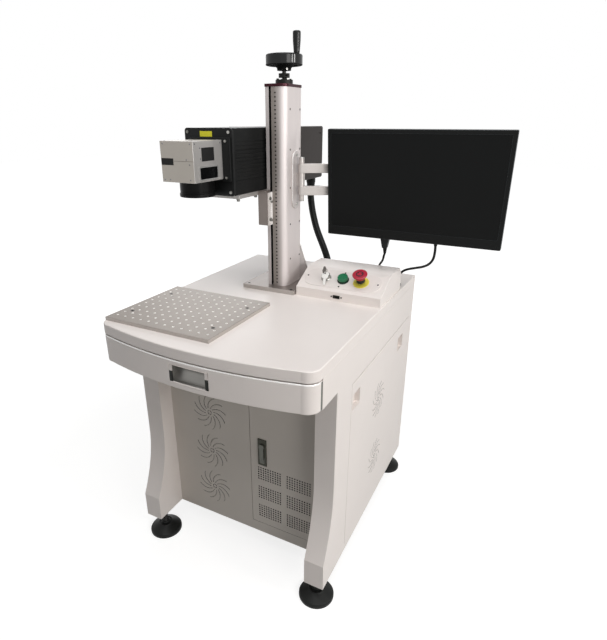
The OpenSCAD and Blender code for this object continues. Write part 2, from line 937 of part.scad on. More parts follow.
module drawer_runners() {
    x0 = tray_w / 2 + runner_t;
    color("#A8A8A4") for (s = [0, 1])
        mirror([s, 0, 0]) difference() {
            box_at(x0, -runner_front, rail_z0 - seat - runner_t, leg_in, runner_l - runner_front,
                rail_z0 + slide_h + seat + runner_t);
            box_at(x0 - over, -runner_front - over, rail_z0 - seat, tray_w / 2 + rail_depth + seat,
                runner_l - runner_front + over, rail_z0 + slide_h + seat);
        }
}

module bolt_seats(cx, cy, dx, dy, top) {
    for (sx = [-1, 1], sy = [-1, 1]) {
        rod_z(cx + sx * dx, cy + sy * dy, top - bolt_l, top + over, bolt_r + bolt_clear);
        rod_z(cx + sx * dx, cy + sy * dy, top - bolt_head_h - bolt_clear, top + over, bolt_head_r + bolt_clear);
    }
}

module work_plate() {
    color("#8F8882") difference() {
        translate([plate_x, plate_y, table_h]) linear_extrude(plate_t) difference() {
            square([plate_w, plate_d], center = true);
            for (i = [0 : hole_cols - 1], k = [0 : hole_rows - 1])
                translate([grid_x - plate_x + (i - (hole_cols - 1) / 2) * hole_pitch,
                    grid_y - plate_y + (k - (hole_rows - 1) / 2) * hole_pitch]) circle(hole_r, $fn = 20);
        }
        bolt_seats(grid_x, grid_y, plate_bolt_dx, plate_bolt_dy, plate_top);
    }
}

module socket_bolt(x, y, top) {
    seat_z = top - bolt_head_h - bolt_clear;
    difference() {
        union() {
            rod_z(x, y, seat_z, top - bolt_clear, bolt_head_r);
            rod_z(x, y, top - bolt_l, seat_z + over, bolt_r);
        }
        translate([x, y, top - bolt_head_h / 2]) cylinder(h = bolt_head_h, r = bolt_r * 0.9, $fn = 6);
    }
}

module cap_screws() {
    color("#2B2B2B") for (sx = [-1, 1], sy = [-1, 1]) {
        socket_bolt(grid_x + sx * plate_bolt_dx, grid_y + sy * plate_bolt_dy, plate_top);
        socket_bolt(base_x + sx * (base_w / 2 - base_bolt_in), base_y + sy * (base_d / 2 - base_bolt_in), base_z);
    }
    color("#5A5A58") for (y = side_hole_ys, i = [0 : 4])
        rod_x(column_right_x - side_hole_d, column_right_x - side_screw_in, y, side_hole_low + i * side_hole_step,
            side_hole_r - run_fit);
}

module column_base() {
    color("#9C948E") {
        difference() {
            box_at(base_x - base_w / 2, base_y - base_d / 2, table_h, base_x + base_w / 2, base_y + base_d / 2, base_z);
            bolt_seats(base_x, base_y, base_w / 2 - base_bolt_in, base_d / 2 - base_bolt_in, base_z);
        }
        difference() {
            along_x(column_left_x, column_right_x) polygon([[column_back_y, base_z - over],
                [column_back_y + gusset_d, base_z - over], [column_back_y + gusset_d, base_z],
                [column_back_y, base_z + gusset_h]]);
            along_x(column_left_x + gusset_t, column_right_x - gusset_t) polygon([[column_back_y - over, base_z],
                [column_back_y + gusset_d - 2 * gusset_t, base_z],
                [column_back_y - over, base_z + gusset_h - 2 * gusset_t]]);
            for (k = [0.28, 0.7])
                box_at(column_right_x - 4 * gusset_t, column_back_y, base_z + gusset_h * k,
                    column_right_x - 2 * gusset_t, column_back_y + gusset_d, base_z + gusset_h * k + 5 * gusset_t);
        }
    }
}

module column_plan(grow) {
    x0 = column_left_x - grow;
    x1 = column_right_x + grow;
    y0 = column_front_y - grow;
    y1 = column_back_y + grow;
    difference() {
        translate([x0, y0]) square([x1 - x0, y1 - y0]);
        translate([x1 - column_r, y0 - over]) difference() {
            square([column_r + over, column_r + over]);
            translate([0, column_r + over]) circle(column_r, $fn = 72);
        }
    }
}

module column() {
    color("#D8CFCE") difference() {
        translate([0, 0, base_z]) linear_extrude(column_h) difference() {
            column_plan(0);
            translate([column_left_x + column_wall, column_front_y + column_wall])
                square([column_w - 2 * column_wall - small_r, column_d - 2 * column_wall]);
            translate([slot_x, column_front_y - over]) square([slot_w, column_wall + 2 * over]);
        }
        for (y = side_hole_ys, i = [0 : 4])
            rod_x(column_right_x - side_hole_d, column_right_x + over, y, side_hole_low + i * side_hole_step,
                side_hole_r);
    }
}

module column_cap() {
    color("#4A2028") translate([0, 0, column_top]) linear_extrude(cap_t) difference() {
        column_plan(cap_lip);
        translate([axis_x, axis_y]) circle(screw_r + small_r);
    }
}

module guide_rods() {
    color("#B8B8B8") for (s = [-1, 1])
        rod_z(axis_x, axis_y + s * rod_dy, base_z, column_top, rod_r);
}

module screw_bearing() {
    color("#3A3A3A") translate([axis_x, axis_y, column_top + cap_t]) {
        difference() {
            union() {
                cylinder(h = bearing_h, r = bearing_r);
                cylinder(h = bearing_h + boss_h, r = boss_r);
            }
            translate([0, 0, -over]) cylinder(h = bearing_h + boss_h + 2 * over, r = neck_r + run_fit);
        }
        for (a = [45 : 90 : 315])
            rotate(a) translate([bearing_r * 0.75, 0, bearing_h - over]) cylinder(h = socket_h + over, r = small_r);
    }
}

module lead_screw() {
    color("#B0B0AE") {
        rod_z(axis_x, axis_y, base_z + seat, column_top + cap_t - seat, screw_r);
        rod_z(axis_x, axis_y, base_z + 2 * seat, rim_z + small_r + 2 * web_t, neck_r);
    }
}

module clamp_collar() {
    color("#6E6E6C") difference() {
        rod_z(axis_x, axis_y, collar_z, collar_z + collar_h, collar_r);
        rod_z(axis_x, axis_y, collar_z - over, collar_z + collar_h + over, neck_r);
        box_at(axis_x - collar_r - over, axis_y - over, collar_z - over, axis_x - neck_r + over, axis_y + over,
            collar_z + collar_h + over);
        rod_y(axis_x + collar_r * 0.75, axis_y - 2 * collar_r, axis_y + 2 * collar_r, collar_z + collar_h / 2,
            side_hole_r);
    }
}

module handwheel() {
    inner = wheel_r - rim_w;
    color("#141414") {
        translate([axis_x, axis_y, 0]) rotate_extrude($fn = 96) {
            polygon([[neck_r, hub_z], [hub_low_r, hub_z], [hub_low_r, hub_z + hub_low_h], [hub_top_r, rim_z],
                [inner + small_r, rim_z + small_r], [inner + small_r, rim_z + small_r + web_t],
                [hub_low_r, rim_z + small_r + 2 * web_t], [neck_r, rim_z + small_r + 2 * web_t]]);
            translate([inner + rim_w / 2, rim_z + rim_h / 2]) rounded(rim_w, rim_h, rim_round);
        }
        rod_z(grip_x, grip_y, wheel_top - 2 * rim_round, wheel_top + grip_h - grip_round, spindle_r);
    }
}

module wheel_grip() {
    r0 = spindle_r + run_fit;
    color("#101010") translate([grip_x, grip_y, wheel_top + seat]) rotate_extrude()
        polygon([[r0, 0], [grip_low_r, 0], [grip_mid_r, grip_h * 0.38], [grip_top_r, grip_h * 0.62],
            [grip_top_r, grip_h - grip_round], [grip_top_r - grip_round * 0.3, grip_h - grip_round * 0.3],
            [grip_top_r - grip_round, grip_h], [0, grip_h], [0, grip_h - grip_round + seat],
            [r0, grip_h - grip_round + seat]]);
}

module carriage() {
    x0 = column_left_x + column_wall + block_clear;
    x1 = column_right_x - column_wall - small_r - block_clear;
    y0 = column_front_y + column_wall + block_clear;
    y1 = column_back_y - column_wall - block_clear;
    z1 = carriage_z + carriage_h;
    color("#A7A39F") difference() {
        union() {
            box_at(x0, y0, carriage_z, x1, y1, z1);
            box_at(tongue_x, tongue_front_y, carriage_z, tongue_x + tongue_w, y0 + over, z1);
        }
        rod_z(axis_x, axis_y, carriage_z - over, z1 + over, screw_r + run_fit);
        for (s = [-1, 1])
            rod_z(axis_x, axis_y + s * rod_dy, carriage_z - over, z1 + over, rod_r + run_fit);
    }
}

module carriage_bracket() {
    color("#7C746E") box_at(bracket_x, tongue_front_y, carriage_z, tongue_x, tongue_front_y + bracket_d, laser_z);
}

module head_plate() {
    color("#A39C96") box_at(bracket_x - head_plate_l, head_plate_front_y, laser_z - head_plate_t, bracket_x,
        head_plate_front_y + head_plate_d, laser_z);
}

module head_screws() {
    x = tongue_x + tongue_w;
    color("#8C8C8A") {
        for (z = [carriage_z + bracket_screw_in, carriage_z + carriage_h - bracket_screw_in])
            rod_x(x, x + socket_h, tongue_front_y + bracket_d / 2, z, socket_r);
        for (y = [0, head_screw_step])
            rod_z(bracket_x - head_screw_in, head_plate_front_y + head_screw_in + y, laser_z - head_plate_t - socket_h,
                laser_z - head_plate_t, socket_r);
        for (sx = [-1, 1], sz = [0, 1])
            rod_y(laser_x + sx * (laser_w / 2 - flange_screw_in), flange_y - socket_h, flange_y,
                laser_z + flange_screw_in + sz * (laser_h - 2 * flange_screw_in), socket_r * 0.8);
        for (z = [galvo_z - adapter_rise + adapter_screw_in, galvo_z + galvo_h + adapter_rise - adapter_screw_in])
            rod_y(galvo_left_x + galvo_w + adapter_right - 1.5 * adapter_screw_in, galvo_back_y - socket_h,
                galvo_back_y, z, socket_r * 0.7);
    }
}

module laser_body() {
    color("#242424") difference() {
        along_x(laser_left_x, laser_right_x) laser_side(0);
        along_x(laser_left_x + laser_wall, laser_right_x - laser_wall) laser_side(laser_wall);
        for (i = [0 : rib_count - 1], x = [laser_left_x, laser_right_x])
            box_at(x - rib_cut, laser_front_y + laser_round, rib_low_z + i * rib_step, x + rib_cut,
                laser_front_y + laser_round + rib_l, rib_low_z + i * rib_step + rib_h);
        rod_y(beam_x, laser_front_y - over, laser_front_y + flange_t, beam_z, beam_r);
    }
    color("#1A1A1A") rod_z(conduit_route[0][0], conduit_route[0][1], laser_z - gland_h, laser_z + laser_wall / 2,
        gland_r);
}

// Side outline of the laser body, with its rear corners rounded
module laser_side(inset) {
    y0 = inset > 0 ? laser_front_y + flange_t : laser_front_y;
    y1 = laser_back_y - inset;
    z0 = laser_z + inset;
    z1 = laser_z + laser_h - inset;
    r = laser_round - inset;
    translate([y0, z0]) square([y1 - r - y0, z1 - z0]);
    translate([y0, z0 + r]) square([y1 - y0, z1 - z0 - 2 * r]);
    for (z = [z0 + r, z1 - r])
        translate([y1 - r, z]) circle(r);
}

module front_flange() {
    color("#1C1E1E") difference() {
        union() {
            along_y(flange_y, laser_front_y) translate([laser_x, laser_z + laser_h / 2])
                rounded(laser_w + 2 * flange_lip, laser_h + 2 * flange_lip, flange_r);
            box_at(galvo_left_x - adapter_left, galvo_back_y, galvo_z - adapter_rise,
                galvo_left_x + galvo_w + adapter_right, flange_y + over, galvo_z + galvo_h + adapter_rise);
        }
        rod_y(beam_x, galvo_back_y - over, laser_front_y + over, beam_z, beam_r);
    }
}

module galvo_housing() {
    w = galvo_wall;
    color("#B9B5B0") difference() {
        box_at(galvo_left_x, galvo_front_y, galvo_z, galvo_left_x + galvo_w, galvo_back_y, galvo_z + galvo_h);
        box_at(galvo_left_x + w, galvo_front_y + w, galvo_z + w, galvo_left_x + galvo_w - w, galvo_back_y - w,
            galvo_z + galvo_h - w);
        rod_y(beam_x, galvo_back_y - 2 * w, galvo_back_y + over, beam_z, beam_r);
        rod_z(galvo_x, lens_y, galvo_z - over, galvo_z + 2 * w, lens_neck_r + run_fit);
    }
}

module galvo_motors() {
    color("#5B5B5B") {
        difference() {
            rod_z(beam_x, lens_y, galvo_z + galvo_h - galvo_wall - motor_l, galvo_z + galvo_h - galvo_wall, motor_r);
            rod_z(beam_x, lens_y, galvo_z, galvo_z + galvo_h - 2 * galvo_wall, mirror_shaft_r + run_fit);
        }
        difference() {
            rod_y(galvo_x, galvo_back_y - galvo_wall - motor_l, galvo_back_y - galvo_wall, beam_z, motor_r);
            rod_y(galvo_x, galvo_front_y, galvo_back_y - 2 * galvo_wall, beam_z, mirror_shaft_r + run_fit);
        }
    }
}

module mirror_x() {
    top = galvo_z + galvo_h - 2 * galvo_wall - seat;
    low = galvo_z + galvo_h - galvo_wall - motor_l - mirror_gap;
    color("#C9D3D8") {
        rod_z(beam_x, lens_y, low, top, mirror_shaft_r);
        translate([beam_x, lens_y, low - mirror_h / 2]) rotate(45)
            cube([mirror_w, mirror_t, mirror_h], center = true);
        rod_z(beam_x, lens_y, low - mirror_t, low, mirror_shaft_r);
    }
}

module mirror_y() {
    back = galvo_back_y - 2 * galvo_wall - seat;
    front = galvo_back_y - galvo_wall - motor_l - mirror_gap;
    color("#C9D3D8") {
        rod_y(galvo_x, front - mirror_t, back, beam_z, mirror_shaft_r);
        translate([galvo_x, front - mirror_h / 2, beam_z]) rotate([0, 45, 0])
            cube([mirror_t, mirror_h, mirror_w], center = true);
    }
}

module scan_lens() {
    color("#121212") translate([galvo_x, lens_y, 0]) rotate_extrude($fn = 96) difference() {
        polygon([[0, lens_z], [lens_r + lens_lip, lens_z], [lens_r + lens_lip, lens_z + lens_lip_h],
            [lens_r, lens_z + lens_lip_h + lens_lip], [lens_r, galvo_z], [lens_neck_r, galvo_z],
            [lens_neck_r, galvo_z + galvo_wall], [0, galvo_z + galvo_wall]]);
        translate([0, lens_z - over]) square([lens_glass_r, lens_glass_in + over]);
    }
}

// Side outline of the control box, drawn in by an inset, as Y and Z
function box_outline(inset, low) = [[box_front_y + inset, low],
    [box_front_y + inset, slope_z - inset * 0.3], [box_front_y + box_slope_d + inset * 0.3, table_h + box_h - inset],
    [box_back_y - box_rear_d - inset * 0.3, table_h + box_h - inset],
    [box_back_y - inset, table_h + box_h - box_rear_drop - inset * 0.3], [box_back_y - inset, low]];

// Places children on the sloping face, X across, Y up the slope, Z out of it
module on_slope(x, s) {
    translate([x, box_front_y, slope_z]) rotate([slope_a, 0, 0]) translate([0, s, 0]) children();
}

module control_box() {
    color("#E3DBD5") difference() {
        along_x(box_x, box_x + box_w) polygon(box_outline(0, table_h));
        along_x(box_x + box_sheet, box_x + box_w - box_sheet) polygon(box_outline(box_sheet, table_h - over));
        for (x = [key_x, start_x, stop_x])
            on_slope(x, slope_mid) translate([0, 0, -2 * switch_l]) cylinder(h = 3 * switch_l, r = switch_r + bolt_clear);
        box_at(usb_x - usb_face_w / 2 + over, box_front_y - over, usb_z - usb_face_h / 2 + over,
            usb_x + usb_face_w / 2 - over, box_front_y + 2 * over + box_sheet, usb_z + usb_face_h / 2 - over);
    }
}

module panel_plate() {
    color("#DAD3CD") {
        on_slope(panel_x, slope_mid) linear_extrude(panel_plate_t) difference() {
            stadium(panel_l, panel_h);
            for (x = [key_x, start_x, stop_x])
                translate([x - panel_x, 0]) circle(switch_r + bolt_clear);
        }
        for (q = [[-1, 0], [1, 0], [0, -1], [0, 1]])
            on_slope(panel_x + q[0] * panel_screw_dx, slope_mid + q[1] * panel_screw_ds)
                translate([0, 0, panel_plate_t]) cylinder(h = panel_plate_t, r = panel_screw_r);
    }
}

module switch_bodies() {
    p = panel_plate_t;
    color("#C8C8C6") on_slope(key_x, slope_mid) difference() {
        union() {
            translate([0, 0, p]) cylinder(h = key_h, r = key_r);
            translate([0, 0, -switch_l]) cylinder(h = switch_l + p + over, r = switch_r);
        }
        translate([0, 0, key_h + p - 2 * key_slot]) cylinder(h = 3 * key_slot, r = key_blade_w / 2 + 2 * run_fit);
    }
    color("#2A2A2A") on_slope(start_x, slope_mid) difference() {
        union() {
            translate([0, 0, p]) cylinder(h = start_base_h, r = button_r + over);
            translate([0, 0, -switch_l]) cylinder(h = switch_l + p + over, r = switch_r);
        }
        translate([0, 0, -switch_l / 2]) cylinder(h = 2 * switch_l, r = switch_r * 0.7 + run_fit);
    }
    color("#E5D24A") on_slope(stop_x, slope_mid) difference() {
        union() {
            translate([0, 0, p]) cylinder(h = ring_t, r = ring_r);
            translate([0, 0, -switch_l]) cylinder(h = switch_l + p + over, r = switch_r);
        }
        translate([0, 0, -switch_l / 2]) cylinder(h = 2 * switch_l, r = switch_r * 0.7 + run_fit);
    }
}

module switch_key() {
    top = key_h + panel_plate_t;
    color("#CFCFCB") on_slope(key_x, slope_mid) {
        translate([0, 0, top - 2 * key_slot + seat]) cylinder(h = 2 * key_slot - seat + over, r = key_blade_w / 2);
        translate([-key_blade_t / 2, -key_blade_w / 2, top]) cube([key_blade_t, key_blade_w, key_blade_w]);
        translate([0, 0, top + key_blade_w + key_bow_r * 0.7]) rotate([0, 90, 0])
            translate([0, 0, -key_blade_t / 2]) difference() {
                cylinder(h = key_blade_t, r = key_bow_r);
                translate([-key_bow_r * 0.5, 0, -over]) cylinder(h = key_blade_t + 2 * over, r = small_r);
            }
    }
}

module start_button() {
    low = panel_plate_t + start_base_h;
    color("#0B7A4B") on_slope(start_x, slope_mid) {
        translate([0, 0, -switch_l / 4]) cylinder(h = switch_l / 4 + low + over + stop_travel, r = switch_r * 0.7);
        translate([0, 0, low + stop_travel - over]) cylinder(h = start_cap_h, r = button_r);
    }
}

module stop_stem() {
    low = panel_plate_t + ring_t;
    color("#1F1F1F") on_slope(stop_x, slope_mid) {
        translate([0, 0, -switch_l / 4]) cylinder(h = switch_l / 4 + low + stop_travel + over, r = switch_r * 0.7);
        translate([0, 0, low + stop_travel + seat]) cylinder(h = stop_neck_h - stop_travel, r = stop_neck_r);
        translate([0, 0, low + stop_neck_h]) cylinder(h = stop_pin_h, r = stop_pin_r);
    }
}

module stop_cap() {
    low = panel_plate_t + ring_t + stop_neck_h + 2 * seat;
    color("#B0223B") on_slope(stop_x, slope_mid) translate([0, 0, low]) rotate_extrude($fn = 64)
        polygon([[stop_pin_r + run_fit, 0], [stop_r * 0.9, 0], [stop_r, stop_cap_h * 0.25],
            [stop_r * 0.98, stop_cap_h * 0.6], [stop_r * 0.86, stop_cap_h * 0.85], [stop_r * 0.6, stop_cap_h],
            [0, stop_cap_h], [0, stop_pin_h], [stop_pin_r + run_fit, stop_pin_h]]);
}

module data_socket() {
    color("#C9C9C7") {
        difference() {
            union() {
                box_at(usb_x - usb_face_w / 2, box_front_y - over, usb_z - usb_face_h / 2, usb_x + usb_face_w / 2,
                    box_front_y, usb_z + usb_face_h / 2);
                box_at(usb_x - usb_face_w / 2 + 1.5 * over, box_front_y - over, usb_z - usb_face_h / 2 + 1.2 * over,
                    usb_x + usb_face_w / 2 - 1.5 * over, box_front_y + usb_d + over, usb_z + usb_face_h / 2 - 1.2 * over);
            }
            box_at(usb_x - usb_w / 2, box_front_y - 2 * over, usb_z - usb_h / 2, usb_x + usb_w / 2,
                box_front_y + usb_d, usb_z + usb_h / 2);
        }
        for (s = [-1, 1])
            rod_y(usb_x + s * usb_screw_dx, box_front_y - over, box_front_y, usb_z, usb_screw_r);
    }
}

module arm_wall_plate() {
    x0 = column_right_x;
    low = bar_low_z + bar_h + seat;
    high = bar_high_z - seat;
    color("#C9C4BF") {
        along_x(x0, x0 + wall_plate_t) translate([wall_plate_y, wall_plate_z]) rotate(90)
            stadium(wall_plate_h, wall_plate_w);
        box_at(x0 + wall_plate_t - over, shoulder_y - barrel_r / 2, low, shoulder_x, shoulder_y + barrel_r / 2, high);
        rod_z(shoulder_x, shoulder_y, low, high, barrel_r);
        rod_z(shoulder_x, shoulder_y, bar_low_z - arm_pin_over, bar_high_z + bar_h + arm_pin_over, arm_pin_r);
        rod_z(shoulder_x, shoulder_y, bar_high_z + bar_h + seat, bar_high_z + bar_h + arm_pin_over, arm_cap_r);
        rod_z(shoulder_x, shoulder_y, bar_low_z - arm_pin_over, bar_low_z - seat, arm_cap_r);
    }
}

module arm_bar(x0, y0, heading, l, w, z, h) {
    translate([x0, y0, z]) rotate(heading) linear_extrude(h) translate([l / 2, 0]) stadium(l + w, w);
}

module arm_link_near() {
    top = bar_high_z + bar_h;
    color("#D5D0CC") {
        difference() {
            for (z = [bar_low_z, bar_high_z])
                arm_bar(shoulder_x, shoulder_y, arm_heading, near_l, bar_w, z, bar_h);
            rod_z(shoulder_x, shoulder_y, bar_low_z - over, top + over, arm_pin_r + run_fit);
        }
        rod_z(elbow_x, elbow_y, bar_low_z, top, arm_pin_r);
        rod_z(elbow_x, elbow_y, top, top + arm_pin_over / 2, arm_cap_r);
        rod_z(elbow_x, elbow_y, bar_low_z - arm_pin_over / 2, bar_low_z, arm_cap_r);
    }
}

module arm_link_far() {
    color("#D5D0CC") {
        difference() {
            union() {
                arm_bar(elbow_x, elbow_y, far_heading, far_l, bar_w, far_z, far_h);
                rod_z(elbow_x, elbow_y, bar_low_z + bar_h + seat, bar_high_z - seat, barrel_r);
            }
            rod_z(elbow_x, elbow_y, bar_low_z, bar_high_z + bar_h, arm_pin_r + run_fit);
        }
        rod_z(swivel_x, swivel_y, far_z, swivel_z + swivel_h + arm_pin_over / 2, swivel_pin_r);
    }
}

// Places children in the monitor's own frame: origin at the middle of the front face, Y backwards
module at_screen() {
    translate([screen_x, screen_y, screen_z]) rotate([screen_lean, 0, 0]) children();
}

module monitor_bracket() {
    color("#3C3C3C") {
        difference() {
            union() {
                rod_z(swivel_x, swivel_y, swivel_z, swivel_z + swivel_h, swivel_r);
                box_at(swivel_x - tilt_block_w / 2, tilt_y, swivel_z, swivel_x + tilt_block_w / 2, swivel_y,
                    swivel_z + swivel_h);
            }
            rod_z(swivel_x, swivel_y, swivel_z - over, swivel_z + swivel_h + over, swivel_pin_r + run_fit);
        }
        rod_x(swivel_x - tilt_block_w / 2 - tilt_ear_t - 2 * seat, swivel_x + tilt_block_w / 2 + tilt_ear_t + 2 * seat,
            tilt_y, tilt_z, tilt_pin_r);
        rod_x(swivel_x - tilt_block_w / 2, swivel_x + tilt_block_w / 2, tilt_y, tilt_z, tilt_ear_r);
    }
}

module monitor_shell() {
    t = screen_t;
    color("#1B1C1C") difference() {
        union() {
            at_screen() {
                along_y(0, t) rounded(screen_w, screen_h, small_r);
                along_y(t - over, t + hump_d) difference() {
                    translate([0, (hump_high - hump_low) / 2]) rounded(hump_w, hump_low + hump_high, hump_r);
                    translate([notch_x - notch_w / 2, -hump_low - over]) square([notch_w, notch_h + over]);
                }
                along_y(screen_back - over, screen_back + vesa_t) square(vesa_w, center = true);
                for (s = [-1, 1])
                    along_x(s * (tilt_block_w / 2 + tilt_ear_t / 2 + seat) - tilt_ear_t / 2,
                        s * (tilt_block_w / 2 + tilt_ear_t / 2 + seat) + tilt_ear_t / 2) {
                        translate([screen_back + tilt_back, tilt_up]) circle(tilt_ear_r);
                        translate([screen_back, tilt_up - tilt_ear_r]) square([tilt_back, 2 * tilt_ear_r]);
                    }
            }
            at_screen() {
                box_at(plug_x - plug_w / 2, plug_y - plug_d / 2, -hump_low - plug_h, plug_x + plug_w / 2,
                    plug_y + plug_d / 2, -hump_low + over);
                box_at(notch_x - power_plug_w / 2, power_plug_y - power_plug_d / 2, -hump_low + notch_h - power_plug_h,
                    notch_x + power_plug_w / 2, power_plug_y + power_plug_d / 2, -hump_low + notch_h + over);
            }
        }
        at_screen() translate([0, 0, (bezel_low - bezel) / 2])
            along_y(-over, bezel_d) square([screen_w - 2 * bezel, screen_h - bezel - bezel_low], center = true);
        rod_x(swivel_x - hump_w / 2, swivel_x + hump_w / 2, tilt_y, tilt_z, tilt_pin_r + run_fit);
    }
}

module monitor_screen() {
    color("#0E0F10") at_screen() translate([0, 0, (bezel_low - bezel) / 2]) along_y(bezel_d - glass_t, bezel_d)
        square([screen_w - 2 * bezel - 2 * seat, screen_h - bezel - bezel_low - 2 * seat], center = true);
}

function unit(v) = v / norm(v);
function ahead(p, i) = unit(p[min(i + 1, len(p) - 1)] - p[max(i - 1, 0)]);
function ring(p, i, r, side) = let (t = ahead(p, i), a = unit(cross(t, side)), b = cross(t, a))
    [for (k = [0 : cord_sides - 1]) let (q = 360 * k / cord_sides) p[i] + r * (cos(q) * a + sin(q) * b)];

// A round cord swept along its points
module cord(p, r, side) {
    n = len(p);
    m = cord_sides;
    verts = [for (i = [0 : n - 1]) each ring(p, i, r, side)];
    walls = [for (i = [0 : n - 2], k = [0 : m - 1]) each [
        [i * m + k, i * m + (k + 1) % m, (i + 1) * m + (k + 1) % m],
        [i * m + k, (i + 1) * m + (k + 1) % m, (i + 1) * m + k]]];
    first = [for (k = [m - 1 : -1 : 0]) k];
    last = [for (k = [0 : m - 1]) (n - 1) * m + k];
    polyhedron(points = verts, faces = concat(walls, [first], [last]));
}

module conduit() {
    color("#111111") cord(conduit_route, conduit_r, [1, 1, 0]);
}

module signal_cable() {
    color("#151515") cord(signal_route, signal_r, [1, 0, 0]);
}

module power_cable() {
    color("#151515") cord(power_route, power_r, [0.4, 0.9, 0]);
}

module cable_glands() {
    color("#181818") for (g = table_glands)
        rod_z(g[0], g[1], table_h, table_h + gland_top, g[2]);
}

module laser_source() {
    color("#3D4046") {
        difference() {
            box_at(source_x, source_y, floor_z, source_x + source_w, source_y + source_d, floor_z + source_h);
            box_at(source_x + unit_wall, source_y + unit_wall, floor_z + unit_wall, source_x + source_w - unit_wall,
                source_y + source_d - unit_wall, floor_z + source_h - unit_wall);
        }
        for (k = [0.15, 0.85])
            rod_y(source_x + source_w * k, source_y - gland_h, source_y, floor_z + source_h / 2, small_r);
        rod_x(source_x + source_w * 0.15 - small_r, source_x + source_w * 0.85 + small_r, source_y - gland_h,
            floor_z + source_h / 2, small_r);
    }
}

module industrial_computer() {
    color("#55585C") difference() {
        box_at(pc_x, pc_y, floor_z, pc_x + pc_w, pc_y + pc_d, floor_z + pc_h);
        box_at(pc_x + unit_wall, pc_y + 3 * unit_wall, floor_z + unit_wall, pc_x + pc_w - unit_wall,
            pc_y + pc_d - unit_wall, floor_z + pc_h - unit_wall);
        for (i = [0 : 9])
            box_at(pc_x + pc_w * 0.15, pc_y - over, floor_z + pc_h * 0.1 + i * rail_depth, pc_x + pc_w * 0.85,
                pc_y + small_r, floor_z + pc_h * 0.1 + i * rail_depth + rail_depth / 2);
    }
}

module fan_housing() {
    y1 = table_back - panel_t;
    color("#26282A") translate([fan_x, 0, fan_z]) {
        difference() {
            along_y(y1 - fan_t, y1) rounded(fan_w, fan_w, 2 * small_r);
            rod_y(0, y1 - fan_t - over, y1 + over, 0, fan_bore_r);
        }
        for (a = [0, 90])
            rotate([0, a, 0]) box_at(-fan_bore_r - over, y1 - small_r, -small_r, fan_bore_r + over, y1, small_r);
        rod_y(0, y1 - fan_t + small_r, y1, 0, fan_pin_r);
    }
}

module fan_rotor() {
    y0 = table_back - panel_t - fan_t + over;
    y1 = table_back - panel_t - small_r - seat;
    color("#303234") translate([fan_x, 0, fan_z]) {
        difference() {
            rod_y(0, y0, y1, 0, fan_hub_r);
            rod_y(0, y0 + over, y1 + over, 0, fan_pin_r + run_fit);
        }
        for (i = [0 : fan_blades - 1])
            rotate([0, i * 360 / fan_blades, 0]) translate([fan_hub_r - over, (y0 + y1) / 2, 0]) rotate([fan_tilt, 0, 0])
                translate([0, -fan_blade_t / 2, -fan_blade_w / 2])
                    cube([fan_bore_r - fan_hub_r - over, fan_blade_t, fan_blade_w]);
    }
}

side_frame_left();
side_frame_right();
table_top();
front_panel();
floor_back_panel();
side_cover_left();
side_cover_right();
levelling_feet();
front_door();
door_hinges();
door_lock_plate();
door_lock_lever();
drawer_front();
drawer_pull();
drawer_tray();
drawer_runners();
work_plate();
cap_screws();
column_base();
column();
column_cap();
guide_rods();
screw_bearing();
lead_screw();
clamp_collar();
handwheel();
wheel_grip();
carriage();
carriage_bracket();
head_plate();
head_screws();
laser_body();
front_flange();
galvo_housing();
galvo_motors();
mirror_x();
mirror_y();
scan_lens();
control_box();
panel_plate();
switch_bodies();
switch_key();
start_button();
stop_stem();
stop_cap();
data_socket();
arm_wall_plate();
arm_link_near();
arm_link_far();
monitor_bracket();
monitor_shell();
monitor_screen();
conduit();
signal_cable();
power_cable();
cable_glands();
laser_source();
industrial_computer();
fan_housing();
fan_rotor();
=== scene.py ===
"""Looks of a laser marking machine: finishes, eased edges, fasteners, cords, stage and camera."""

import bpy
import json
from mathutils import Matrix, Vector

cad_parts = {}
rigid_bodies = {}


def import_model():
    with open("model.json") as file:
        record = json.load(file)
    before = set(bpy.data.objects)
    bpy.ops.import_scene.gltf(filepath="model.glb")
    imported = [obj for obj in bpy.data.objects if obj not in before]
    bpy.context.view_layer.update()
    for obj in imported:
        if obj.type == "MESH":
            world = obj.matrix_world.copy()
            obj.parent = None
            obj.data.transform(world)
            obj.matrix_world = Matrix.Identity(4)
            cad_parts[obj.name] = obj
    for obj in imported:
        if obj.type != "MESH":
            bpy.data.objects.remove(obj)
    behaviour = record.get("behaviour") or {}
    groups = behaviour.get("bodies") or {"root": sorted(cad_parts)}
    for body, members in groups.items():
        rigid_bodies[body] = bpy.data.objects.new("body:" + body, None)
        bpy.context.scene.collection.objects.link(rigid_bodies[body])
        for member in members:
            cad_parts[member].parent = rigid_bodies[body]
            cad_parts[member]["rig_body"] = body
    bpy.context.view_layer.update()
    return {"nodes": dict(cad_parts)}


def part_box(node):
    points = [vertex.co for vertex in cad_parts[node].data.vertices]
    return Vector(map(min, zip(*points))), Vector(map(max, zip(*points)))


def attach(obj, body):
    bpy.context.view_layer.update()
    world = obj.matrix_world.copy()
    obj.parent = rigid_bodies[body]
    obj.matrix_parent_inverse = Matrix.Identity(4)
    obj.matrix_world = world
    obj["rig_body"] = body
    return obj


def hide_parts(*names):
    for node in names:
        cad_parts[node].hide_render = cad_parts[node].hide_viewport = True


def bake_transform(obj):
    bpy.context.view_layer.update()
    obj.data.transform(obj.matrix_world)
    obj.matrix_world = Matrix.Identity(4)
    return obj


bl_info = {
    "name": "Laser Marking Machine Looks",
    "version": (1, 0, 0),
    "blender": (4, 5, 0),
    "location": "View3D > Sidebar > Marking",
    "description": "Dresses the packed laser marking machine with its finishes, fasteners and cords",
    "category": "Object",
}

import json
import math

